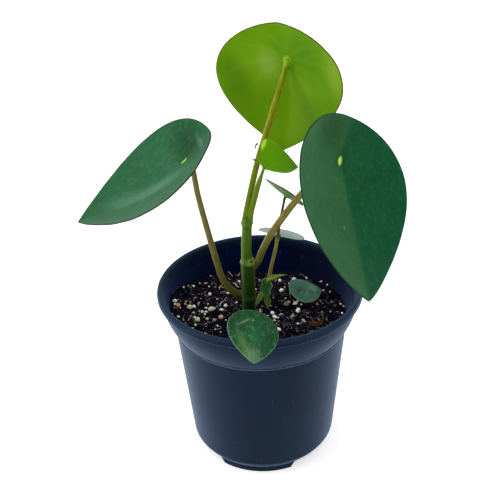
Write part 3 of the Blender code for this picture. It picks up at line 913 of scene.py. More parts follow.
@dataclass(frozen=True)
class StalkFinish:
    """How a stalk is coloured: along it, with a painted highlight on one flank, and in fine
    freckles and streaks.
    """

    base: Colour
    middle: Colour
    tip: Colour
    # flank: colour of the painted highlight along the stalk's edge
    flank: Colour
    highlight_turn: float = 0.28           # turn round the stalk where the painted highlight lies
    highlight_width: float = 0.14
    highlight_show: float = 0.6
    both_highlights: bool = False          # another painted highlight on the other side
    freckle: Colour = screen(96, 62, 30)
    freckle_show: float = 0.25
    roughness: float = 0.42
    blend: Pair = (0.16, 0.9)          # shares of the length where base and tip give way
    cap: Colour = screen(156, 204, 30)      # the end under the blade
    cap_show: float = 0.0

    def material(self, name: str, length: float) -> bpy.types.Material:
        """Build the stalk's material.

        Args:
            name: The material's name.
            length: The stalk's length, in millimetres.

        Returns:
            The material.
        """
        graph = Graph(name, self.roughness, 0.15)
        around, along, _ = graph.split(graph.uv("stalk"))
        drawn = graph.spread(graph.uv("stalk"), (9.0, length * 0.18, 1.0))
        streaks = graph.cloud(drawn, 1.0, 3.0, 0.6, 0.3)
        fine = graph.cloud(graph.object_place(), 0.9, 4.0, 0.65)
        if self.both_highlights:
            around = graph.math('PINGPONG', around, 0.5)
        base_ends, tip_starts = self.blend
        width = self.highlight_width
        colour = graph.layered(
            self.base, (self.middle, graph.fade(along, 0.02, base_ends)),
            (self.tip, graph.fade(along, tip_starts - 0.25, tip_starts + 0.05)),
            (self.cap, graph.fade(along, 0.94, 0.975), self.cap_show),
            # Painted highlight along one flank, or along both
            (self.flank, graph.band(around, self.highlight_turn, width, width * 0.25),
             self.highlight_show))
        colour = graph.dulled(colour, (0.62, 0.58, 0.5), graph.fade(streaks, 0.35, 0.7, 0.3))
        freckles = graph.fade(fine, 0.52, 0.7)
        colour = graph.layered(colour, (self.freckle, freckles, self.freckle_show))
        normal = graph.relief(graph.math('ADD', streaks, graph.product(fine, 0.4)), 0.15, 0.6)
        rough = graph.fade(fine, 0.2, 0.8, self.roughness - 0.08, self.roughness + 0.1)
        graph.fleshy(0.25, (0.8, 0.8, 0.2))
        return graph.done(colour, rough, normal)


@dataclass
class Stalk:
    """A leaf stalk or side stem, flared where it leaves its parent and where it meets a blade."""

    node: str
    points: tuple[Triple, ...]
    base: float                        # radius
    tip: float
    finish: StalkFinish
    blade: BladeForm | None = None     # the blade that it carries
    slot: str = "petiole_olive"
    facing: Triple = (0.0, -1.0, 0.0)
    root_flare: float = 0.3            # extra radius at the root, of the base radius
    root_reach: float = 4.0            # mm over which the root narrows
    groove: float = 0.10               # depth of the channel along the stalk, of its radius
    groove_turn: float = 0.3
    sides: int = 20
    spacing: float = 0.9
    sink: float = 0.0                  # mm by which the root starts further back, in its parent
    round_end: bool = False
    sheath: tuple[Pair, ...] = ()      # extra radius, mm, at shares of the length, for a sheath
    lead: float = 3.0                  # of the base radius: last bend under a blade

    BLADE_FLARE = (0.55, 1.1)          # extra radius under a blade, of the radius, and its reach
    UNEVEN = (0.035, 5.0)              # how uneven the radius is, of itself, and over what length
    CHANNEL_WIDTH = 0.09               # of the turn round the stalk

    def route(self) -> list[Vector]:
        """The stalk's course, up to the underside of its blade."""
        points = [Vector(p) for p in self.points]
        if self.sink:
            points[0] = points[0] + (points[0] - points[1]).normalized() * self.sink
        if self.blade is not None:
            out = self.blade.axes()[2]
            seat = Vector(self.blade.seat)
            under = seat - out * (self.blade.thick + GAP)
            points += [under - out * self.lead * self.base, seat - out * self.blade.thick * 0.9]
        return smooth_route(points, self.spacing)

    def radii(self, route: Sequence[Vector]) -> list[float]:
        """The stalk's radius along its course, flared at both ends."""
        count = len(route) - 1
        length = count * self.spacing
        radii = []
        for index in range(count + 1):
            share = index / count
            radius = self.base + (self.tip - self.base) * share
            radius *= 1.0 + self.root_flare * math.exp(-share * length / self.root_reach * 2)
            if self.blade is not None:
                flare, reach = self.BLADE_FLARE
                radius *= 1.0 + flare * math.exp(-(1.0 - share) * length / reach)
            uneven, period = self.UNEVEN
            radius *= 1.0 + uneven * noise.noise(Vector((share * length / period, self.base, 0.0)))
            for (low, first), (high, second) in zip(self.sheath, self.sheath[1:]):
                if low <= share < high:
                    radius += first + (second - first) * ease(share, low, high)
            radii.append(radius)
        return radii

    def shape(self, along: float, turn: float) -> float:
        """A shallow channel along the stalk."""
        away = abs(turn - self.groove_turn)
        channel = bell(min(away, 1.0 - away), 0.0, self.CHANNEL_WIDTH)
        return 1.0 - self.groove * channel * ease(along, 0.02, 0.2)

    def build(self) -> None:
        """Make the stalk and dress it."""
        route = self.route()
        radii = self.radii(route)
        if self.round_end:
            route, radii = domed(route, radii)
        bm = sweep(route, radii, self.sides, self.facing, self.shape)
        material = self.finish.material(self.node + "_skin", len(route) * self.spacing)
        show(self.node + "_fine", as_mesh(self.node, bm), material, self.slot, self.node)


@dataclass
class MainStem:
    """The upright stem: swollen nodes with collars left by old leaves, and a bud."""

    foot: float = 66.0
    top: float = 139.0
    foot_x: float = -6.3
    top_x: float = -5.6
    collar: float = 82.0               # height above which the stem starts to lean
    low_radius: float = 3.65
    high_radius: float = 2.68
    nodes: Triple = (94.0, 114.0, 135.5)
    bud_turn: float = 0.64
    pit_height: float = 114.6
    pit_turn: float = 0.605
    spacing: float = 0.4
    sides: int = 56

    BEND = (-0.65, 121.0, 9.0)         # sideways bend, its height and its half length, mm
    BARREL = (                         # node, height over it, extra radius and half width, mm
        (0, -1.0, 0.25, 1.6), (0, -4.5, 0.12, 1.2), (1, 1.4, 0.32, 2.8), (1, -3.2, -0.10, 1.1),
        (2, -0.4, 0.22, 0.9), (2, 2.0, 0.2, 1.6), (2, -2.6, -0.15, 1.0))
    LEFT_TURN, RIGHT_TURN = 0.27, 0.73  # where the two flanks are, of the turn round the stem
    BUD_PLACE = (2.75, -1.7)           # from the stem's axis, mm
    BUD_OVER = 1.6                     # height over the middle node
    BUD_SIZE = (0.8, 0.8, 1.3)         # half-axes
    BUD_POINT = 0.35                   # how much narrower it is at its tip
    BUD_LEAN = 24.0                    # degrees

    def centre(self, height: float) -> Vector:
        """The stem's axis at a height."""
        share = max(0.0, (height - self.collar) / (self.top - self.collar))
        bend, middle, length = self.BEND
        x = self.foot_x + (self.top_x - self.foot_x) * share + bend * bell(height, middle, length)
        return Vector((x, 0.0, height))

    def radius(self, height: float) -> float:
        """The stem's radius at a height, swollen at its nodes."""
        middle = self.nodes[1]
        radius = self.high_radius + (self.low_radius - self.high_radius) * ease(
            height, middle + 1.5, middle - 1.0)
        for node, over, extra, width in self.BARREL:
            radius += extra * bell(height, self.nodes[node] + over, width)
        return radius - 1.0 * ease(height, self.top - 2.0, self.top + 1.5)

    def shape(self, along: float, turn: float) -> float:
        """Uneven flanks, and the knob that the bud sits on."""
        height = self.foot + along * (self.top - self.foot)
        flank = 0.02 * math.sin(math.tau * 3 * turn + height / 14)
        knob = 0.30 * bell(height, self.nodes[1] + 0.3, 2.1) * bell(turn, self.bud_turn, 0.10)
        left = 0.14 * bell(height, self.nodes[0] - 0.5, 2.0) * bell(turn, self.LEFT_TURN, 0.12)
        left += 0.03 * bell(height, self.nodes[1] - 0.6, 1.6) * bell(turn, self.LEFT_TURN, 0.14)
        pit = 0.20 * bell(height, self.pit_height, 0.5) * bell(turn, self.pit_turn, 0.03)
        return 1.0 + flank + knob + left - pit

    def material(self) -> bpy.types.Material:
        """Bright green above, darker below the middle node, with pale collars at the nodes and
        painted highlights down both flanks.
        """
        graph = Graph("stem_skin", 0.4, 0.15)
        place = graph.object_place()
        _, _, height = graph.split(place)
        around, _, _ = graph.split(graph.uv("stalk"))
        fine = graph.cloud(place, 0.8, 4.0, 0.62)
        lengthwise = graph.cloud(graph.spread(place, (0.9, 0.9, 0.10)), 1.0, 3.0, 0.6)
        uneven = graph.math('MULTIPLY_ADD', fine, 2.5, height)
        low, middle, high = self.nodes
        colour = graph.layered(
            screen(24, 60, 24),
            (screen(80, 118, 12), graph.fade(uneven, middle - 1.5, middle + 1.5)),
            (screen(52, 84, 24), graph.fade(height, middle + 8.0, middle, 0.0, 0.8)),
            (screen(96, 134, 20), graph.fade(height, high - 4.0, high + 3.0)),
            (screen(14, 46, 42), graph.fade(height, low + 8.0, low - 4.0, 0.0, 0.7)),
            (screen(132, 166, 70), graph.band(height, middle + 0.2, 3.0, 0.8),
             graph.band(around, self.bud_turn, 0.2, 0.06, 0.35, 0.95)),
            (screen(84, 112, 40), graph.band(height, low - 2.0, 2.0, 0.5), 0.6),
            (screen(50, 86, 16), graph.band(uneven, high - 0.6, 0.9, 0.2), 0.55),
            # Painted highlights down the right and left flanks of the stem
            (screen(128, 136, 104), graph.band(around, self.RIGHT_TURN, 0.1, 0.02), 0.4),
            (screen(150, 176, 110), graph.band(around, self.LEFT_TURN, 0.19, 0.02),
             graph.fade(height, low + 2.0, middle + 3.0, 0.3, 0.8)))
        colour = graph.dulled(colour, (0.62, 0.7, 0.5), graph.fade(lengthwise, 0.4, 0.7, 0.3))
        turn = math.tau * (self.pit_turn - 0.5)
        radius = self.radius(self.pit_height) * 1.12
        pit = self.centre(self.pit_height) + radius * Vector((math.sin(turn), -math.cos(turn), 0.0))
        colour = graph.layered(
            colour, (screen(10, 12, 6), graph.oval(place, pit, (0.85, 0.85, 0.8), core=0.5)))
        normal = graph.relief(graph.math('ADD', lengthwise, graph.product(fine, 0.5)), 0.15, 0.6)
        graph.fleshy(0.2, (0.8, 1.0, 0.2))
        return graph.done(colour, graph.fade(fine, 0.2, 0.8, 0.32, 0.5), normal)

    def build(self) -> None:
        """Make the stem and the bud at its middle node."""
        count = round((self.top - self.foot) / self.spacing)
        heights = [self.foot + (self.top - self.foot) * index / count for index in range(count + 1)]
        route = [self.centre(height) for height in heights]
        radii = [self.radius(height) for height in heights]
        stem = as_mesh("main_stem", sweep(route, radii, self.sides, shape=self.shape))
        show("main_stem_fine", stem, self.material(), "stem_green", "main_stem")
        bud = bmesh.new()
        lean = Matrix.Rotation(math.radians(self.BUD_LEAN), 4, 'Y')
        place = Matrix.Translation(self.centre(self.nodes[1] + self.BUD_OVER)
                                   + Vector((*self.BUD_PLACE, 0.0)))
        bmesh.ops.create_uvsphere(bud, u_segments=18, v_segments=12, radius=1.0)
        for vert in bud.verts:
            point = 1.0 - self.BUD_POINT * max(0.0, vert.co.z)
            vert.co = vert.co * Vector((point, point, 1.0)) * Vector(self.BUD_SIZE)
        bmesh.ops.transform(bud, matrix=Matrix.Scale(MM, 4) @ place @ lean, verts=bud.verts)
        graph = Graph("bud_skin", 0.4, 0.15)
        where = graph.object_place()
        streaks = graph.fade(graph.cloud(graph.spread(where, (2.0, 2.0, 0.5)), 1.0), 0.35, 0.65)
        tone = graph.mix(streaks, screen(96, 142, 56), screen(150, 178, 104))
        show("axil_bud", as_mesh("axil_bud", bud), graph.done(tone), "stem_green")


@dataclass
class Pot:
    """The grower's pot: a rolled lip, a swelling collar, a tapered wall and a notched foot."""

    rim: float = 55.0
    height: float = 100.0
    lip_height: float = 3.9
    lip_width: float = 3.4
    neck: float = 53.2
    kink: float = 46.6
    kink_height: float = 77.3
    step: float = 0.45
    bulge: float = 1.1
    ledge_height: float = 79.8
    ledge_width: float = 1.0
    base: float = 40.4
    base_height: float = 7.8
    foot: float = 37.6
    foot_height: float = 4.3
    wall: float = 1.2
    foot_wall: float = 1.4
    pad: float = 15.5
    floor: float = 1.3
    round_size: float = 0.7
    steps: int = 192
    feet: int = 3
    notch: Triple = (14.0, 32.6, 8.5)
    notch_turn: float = -7.0
    notch_flare: float = 1.35          # how much wider a notch's box is at its foot than its top
    drain_radius: float = 4.0
    drain_at: float = 29.5
    ring: float = 91.6                 # height of the shallow step inside the collar

    SHARES = (0.2, 0.4, 0.6, 0.8)      # down the collar, where its swelling is measured
    NOTCH_BEVEL = 1.6                  # mm: how far a notch's upper edges are rounded
    DRAIN_DEPTH = 6.0                  # length of the tool that cuts a drain hole
    CREASE = 38.0                      # degrees: edges sharper than this aren't smoothed
    INSIDE = (0.33, 20.6)              # the wall's mid line: slope against height, and its start
    FOOT_SHADE = 6.0                   # height of the dark line over the feet
    SHEEN = (("Weight", 0.36), ("Roughness", 0.45), ("Tint", (*screen(156, 196, 246), 1.0)))

    def wall_radius(self, height: float) -> float:
        """Outer radius that the lower wall has at this height."""
        share = (height - self.base_height) / (self.kink_height - self.base_height)
        return self.base + share * (self.kink - self.base)

    def inner_radius(self, height: float) -> float:
        """Radius of the inside between the ledge and the mouth."""
        low, high = self.ledge_height + 2 * self.round_size, self.height - 2 * self.round_size
        ledge = self.wall_radius(self.ledge_height) - self.wall
        if height < low:
            share = (height - self.ledge_height) / (low - self.ledge_height)
            return ledge + self.ledge_width * max(0.0, share)
        share = (height - low) / (high - low)
        return ledge + self.ledge_width + share * (self.rim - self.lip_width - ledge
                                                   - self.ledge_width)

    def section(self) -> list[Pair]:
        """The pot's section: up the inside from the axis, over the lip and down the outside."""
        low, size = self.height - self.lip_height, self.round_size
        mouth = self.rim - self.lip_width
        ledge = self.wall_radius(self.ledge_height) - self.wall
        inside = [
            (0.0, self.floor, 0.0), (self.pad - self.floor, self.floor, size),
            (self.pad, self.foot_height + self.floor, size),
            (self.foot, self.foot_height + self.floor, size),
            (self.base - self.wall, self.base_height + size, 2.0),
            (ledge, self.ledge_height, size),
            (ledge + self.ledge_width, self.ledge_height + 2 * size, size),
            (self.inner_radius(self.ring - 0.5), self.ring - 0.5, 0.3),
            (self.inner_radius(self.ring + 0.1) + 0.35, self.ring + 0.1, 0.3),
            (mouth + 0.15, self.height - 1.9, 0.9), (mouth + 0.75, self.height - 0.35, 0.5),
            (mouth + 1.5, self.height, 0.5),
        ]
        swell = []
        for share in self.SHARES:
            radius = self.neck + share * (self.kink + self.step - self.neck)
            swell.append((radius + self.bulge * 4 * share * (1 - share),
                          low - share * (low - self.kink_height - size), 2.0))
        outside = [
            (self.rim - 0.9, self.height, 0.8), (self.rim, self.height - 1.2, 0.9),
            (self.rim, low + 0.4, 0.5), (self.rim - 0.5, low - 0.1, 0.4),
            (self.neck, low - 0.35, 0.5), *swell,
            (self.kink + self.step, self.kink_height + 1.1, 0.2),
            (self.kink + self.step + 0.3, self.kink_height + size, 0.25),
            (self.kink + self.step, self.kink_height + 0.2, 0.2),
            (self.kink, self.kink_height - 0.3, 0.3),
            (self.base, self.base_height, 0.6),
            (self.base - size, self.base_height - 2 * size, 0.5),
            (self.foot + size, self.foot_height, 0.6), (self.foot, self.foot_height - size, 0.5),
            (self.foot, 0.0, 0.4), (self.foot - self.foot_wall, 0.0, 0.4),
            (self.foot - self.foot_wall, self.foot_height, 0.5),
            (self.pad + self.floor, self.foot_height, size), (self.pad, 0.0, 0.4), (0.0, 0.0, 0.0),
        ]
        return rounded(inside + outside)

    def cutters(self) -> Iterator[bpy.types.Object]:
        """The boxes between the feet and the drain holes beside them."""
        for index in range(self.feet):
            angle = 90.0 + self.notch_turn - index * 360.0 / self.feet
            turn = Matrix.Rotation(math.radians(angle), 4, 'Z')
            box = bmesh.new()
            place = Matrix.Translation((self.foot, 0, 0)) @ Matrix.Diagonal((*self.notch, 1.0))
            bmesh.ops.create_cube(box, size=1.0, matrix=place)
            for vert in box.verts:
                if vert.co.z < 0:
                    vert.co.y *= self.notch_flare
            lengthways = [edge for edge in box.edges
                          if abs(edge.verts[0].co.x - edge.verts[1].co.x) > 1.0
                          and edge.verts[0].co.z > 0]
            bmesh.ops.bevel(box, geom=lengthways, offset=self.NOTCH_BEVEL, offset_type='OFFSET',
                            segments=5, profile=0.5, affect='EDGES', material=-1)
            drain = bmesh.new()
            bmesh.ops.create_cone(drain, cap_ends=True, segments=40, radius1=self.drain_radius,
                                  radius2=self.drain_radius, depth=self.DRAIN_DEPTH,
                                  matrix=Matrix.Translation((self.drain_at, 0.0, self.foot_height)))
            for tool in (box, drain):
                bmesh.ops.transform(tool, matrix=Matrix.Scale(MM, 4) @ turn, verts=tool.verts)
                yield in_scene("pot_cutter", as_mesh("pot_cutter", tool))

    def mesh(self) -> bpy.types.Mesh:
        """Turn the section, then cut the notches and drains."""
        bm = turned(self.section(), self.steps)
        bmesh.ops.scale(bm, vec=(MM,) * 3, verts=bm.verts)
        blank = in_scene("pot_blank", as_mesh("pot_blank", bm))
        tools = list(self.cutters())
        for tool in tools:
            boolean = blank.modifiers.new("Cut", 'BOOLEAN')
            boolean.operation = 'DIFFERENCE'
            boolean.object = tool
        evaluated = blank.evaluated_get(bpy.context.evaluated_depsgraph_get())
        mesh = bpy.data.meshes.new_from_object(evaluated)
        for old in (blank, *tools):
            bpy.data.objects.remove(old, do_unlink=True)
        mesh.materials.clear()
        mesh.shade_smooth()
        mesh.set_sharp_from_angle(angle=math.radians(self.CREASE))
        return mesh

    def material(self) -> bpy.types.Material:
        """Dark navy plastic with a satin skin, faint scuffs and a little dust, painted shade inside
        and painted highlights on the lip and the kink.
        """
        graph = Graph("pot_plastic_skin", 0.42, 0.03)
        place = graph.object_place()
        x, y, height = graph.split(place)
        fine = graph.cloud(place, 1.4, 3.0, 0.6)
        drawn = graph.cloud(graph.spread(place, (0.35, 0.35, 0.05)), 1.0, 4.0, 0.6)
        radius = graph.math('SQRT', graph.math('MULTIPLY_ADD', x, x, graph.product(y, y)))
        depth = graph.math('SUBTRACT', radius, graph.math('MULTIPLY_ADD', height, *self.INSIDE))
        inside = graph.product(graph.fade(depth, 0.3, -0.3), graph.fade(height, 97.0, 94.0))
        top = self.height
        colour = graph.layered(
            screen(0, 12, 30),
            (screen(2, 17, 37), graph.fade(graph.cloud(place, 0.03, 2.0), 0.35, 0.65)),
            (screen(10, 26, 48), graph.fade(height, 76.0, 98.0, 0.0, 0.35)),
            # Painted shade: the inside wall darker and bluer, and darker still towards +X
            (screen(0, 6, 54), inside), (screen(0, 0, 34), inside, graph.fade(x, 2.0, 24.0)),
            # Painted highlight along the top of the lip
            (screen(40, 58, 82), graph.fade(height, top - 2.5, top - 0.3, 0.0, 0.6)),
            (screen(0, 2, 10), graph.band(height, self.FOOT_SHADE, 1.8, 0.8), 0.7),
            # Painted highlight along the ridge at the kink, broken up by noise
            (screen(92, 112, 128), graph.band(height, self.kink_height + 0.8, 0.5, 0.15),
             graph.fade(fine, 0.3, 0.6), 0.5),
            (screen(120, 135, 150), graph.fade(drawn, 0.60, 0.74), graph.fade(fine, 0.42, 0.62),
             0.10),
            (screen(130, 150, 160), graph.dots(place, 0.42, 0.16, 0.10),
             graph.fade(height, 60.0, 20.0, 0.15), 0.22))
        normal = graph.relief(graph.math('ADD', fine, graph.product(drawn, 1.5)), 0.05, 0.35)
        for key, value in self.SHEEN:
            graph.shader.inputs["Sheen " + key].default_value = value
        return graph.done(colour, graph.math('MULTIPLY_ADD', drawn, 0.18, 0.30), normal)

    def build(self) -> None:
        """Make the pot and dress it."""
        show("pot_fine", self.mesh(), self.material(), "pot_plastic", "pot")


class Grit(Enum):
    """What a granule in the soil is: its tone, from 0 to 1, in the granules' material."""

    WHITE = 0.95
    CREAM = 0.70
    TAN = 0.45
    OLIVE = 0.25
    PINK = 0.05


WHITE, CREAM, TAN, OLIVE, PINK = Grit


@dataclass(frozen=True)
class Granule:
    """A granule that the photograph shows, by its pixel."""

    pixel: Pair
    size: float                  # radius, mm
    grit: Grit = WHITE
    long: float = 1.0            # how much longer than wide
    turn: float = 0.0            # degrees, from above


GRANULES = tuple(Granule(*row) for row in (
    ((174.7, 301.0), 1.1, WHITE, 1.7, -30), ((175.2, 304.6), 0.8), ((178.4, 306.4), 1.3, TAN),
    ((189.7, 308.2), 1.4, CREAM, 1.3), ((194.0, 306.6), 1.2), ((198.5, 304.8), 0.8, PINK, 1.8, 40),
    ((205.9, 308.2), 1.0), ((211.2, 309.6), 1.7, CREAM, 1.2), ((214.3, 309.0), 1.0, CREAM),
    ((225.6, 306.4), 1.2), ((221.6, 309.9), 0.9, WHITE, 1.6, 10), ((206.3, 312.4), 1.1),
    ((202.2, 312.2), 0.9), ((205.0, 314.8), 0.8, CREAM), ((193.4, 313.4), 0.8, CREAM),
    ((199.6, 314.6), 0.7, OLIVE), ((221.0, 317.6), 1.5, TAN),
    ((197.6, 320.2), 1.4, CREAM, 1.3, -40), ((194.6, 318.4), 1.0, CREAM),
    ((207.2, 319.6), 1.0, CREAM), ((214.6, 321.4), 1.2, PINK), ((195.4, 325.4), 0.8),
    ((178.4, 316.6), 0.8), ((206.0, 284.0), 0.9, PINK, 1.4, -20), ((193.6, 286.2), 0.8),
    ((188.4, 286.5), 0.9, OLIVE), ((209.9, 294.6), 1.0), ((228.2, 293.8), 0.9, CREAM, 1.3),
    ((239.1, 281.6), 0.9), ((236.6, 302.2), 0.6, WHITE, 2.0, 40), ((255.6, 289.2), 0.8, CREAM),
    ((279.9, 281.2), 1.1), ((281.6, 290.9), 1.3, WHITE, 1.2), ((284.8, 287.2), 0.6),
    ((293.9, 279.4), 1.0, WHITE, 1.4), ((306.3, 278.4), 0.8), ((320.8, 282.4), 0.8, PINK, 1.5),
    ((327.2, 285.2), 0.6), ((323.3, 290.8), 0.9, PINK), ((295.2, 303.8), 1.2, WHITE, 1.5, 50),
    ((298.0, 311.6), 1.5, WHITE, 1.5, 80), ((301.3, 304.2), 0.7), ((286.4, 304.8), 1.8, OLIVE),
    ((289.0, 302.8), 1.1, TAN), ((317.3, 304.2), 1.0, OLIVE), ((272.4, 313.4), 1.3),
    ((274.6, 317.4), 1.4, WHITE, 1.2), ((280.9, 314.4), 0.9, PINK, 1.8, 30),
    ((291.8, 317.4), 1.0, OLIVE, 1.6, -30), ((279.0, 322.2), 0.8, OLIVE), ((297.9, 324.0), 0.8),
    ((279.4, 330.2), 1.1, WHITE, 1.7, -55), ((340.6, 304.8), 0.6), ((343.6, 306.8), 0.8, PINK),
    ((342.2, 313.6), 0.7), ((303.8, 321.6), 0.8, PINK, 2.2, -50),
))


@dataclass(frozen=True)
class Strand:
    """A fibre or twig that the photograph shows lying on the soil, by its pixels."""

    pixels: tuple[Pair, ...]
    radius: float
    tone: float                  # from 0, dark brown, to 1, straw


STRANDS = (
    Strand(((298.0, 326.0), (306.0, 322.6), (315.0, 318.6), (323.0, 315.0)), 0.34, 0.12),
    Strand(((227.4, 271.2), (229.6, 273.4), (232.7, 276.8)), 0.30, 0.7),
    Strand(((226.0, 276.0), (228.4, 279.0), (230.8, 281.4)), 0.32, 0.55),
    Strand(((235.4, 284.4), (237.0, 286.6), (238.8, 288.6)), 0.36, 0.95),
    Strand(((218.8, 288.0), (221.4, 286.4)), 0.36, 0.9),
    Strand(((219.4, 307.2), (221.8, 303.4), (224.2, 300.8), (227.0, 298.2)), 0.42, 0.75),
    Strand(((298.6, 273.6), (302.0, 275.6), (305.6, 278.0)), 0.26, 0.35),
    Strand(((304.0, 273.6), (309.0, 275.2), (313.0, 274.4)), 0.24, 0.3),
    Strand(((322.0, 313.2), (322.8, 316.4)), 0.30, 0.8),
)


@dataclass(frozen=True)
class GritFinish:
    """A grainy finish whose colour follows each copy's tone."""

    name: str
    start: Colour                      # at tone 0
    tones: tuple[tuple[Colour, float, float], ...]   # the next colours: where each starts and ends
    dull: Colour                       # factors for its darker grains
    dull_fade: tuple[float, ...]
    grain: Triple = (1.6, 4.0, 0.65)   # scale, detail and roughness of the noise
    surface: Pair = (0.9, 0.06)        # roughness and specular
    relief: Pair | None = (0.3, 0.8)   # depth, mm, and strength
    glow: float = 0.0

    def material(self) -> bpy.types.Material:
        """Build the material."""
        graph = Graph(self.name, *self.surface)
        fine = graph.cloud(graph.object_place(), *self.grain)
        tone = graph.attribute("tone")
        colour = graph.layered(self.start, *(
            (tint, graph.fade(tone, first, last)) for tint, first, last in self.tones))
        colour = graph.dulled(colour, self.dull, graph.fade(fine, *self.dull_fade))
        if self.glow:
            graph.lit(colour, self.glow)
        normal = graph.relief(fine, *self.relief) if self.relief else None
        return graph.done(colour, None, normal)


CRUMB_DULL = {"dull": (0.4, 0.36, 0.4), "dull_fade": (0.4, 0.7, 0.1, 0.6)}
CRUMB_PEAT = GritFinish("crumb_peat", screen(3, 3, 22), (
    (screen(36, 30, 50), 0.0, 0.75), (screen(104, 92, 98), 0.78, 1.0)), **CRUMB_DULL)
CHIP_BARK = GritFinish("chip_bark", screen(8, 6, 16), (
    (screen(52, 42, 52), 0.0, 0.75), (screen(112, 72, 50), 0.78, 1.0)), **CRUMB_DULL)
# The granules glow a little: painted light that brightens them
GRANULE_CHALK = GritFinish("granule_chalk", screen(186, 160, 164), (
    (screen(122, 120, 96), 0.10, 0.20), (screen(214, 182, 134), 0.30, 0.40),
    (screen(226, 224, 190), 0.52, 0.62), (screen(250, 248, 246), 0.78, 0.88)),
    (0.45, 0.40, 0.36), (0.52, 0.74, 0.0, 0.5), (2.2, 4.0, 0.65), (0.75, 0.35), (0.35, 0.6), 0.14)
FIBRE = GritFinish("fibre", screen(66, 54, 60), (
    (screen(146, 130, 124), 0.0, 0.6), (screen(214, 208, 182), 0.5, 0.9)),
    (0.5, 0.45, 0.4), (0.4, 0.7, 0.0, 0.5), (1.2, 3.0, 0.55), (0.7, 0.3), None)


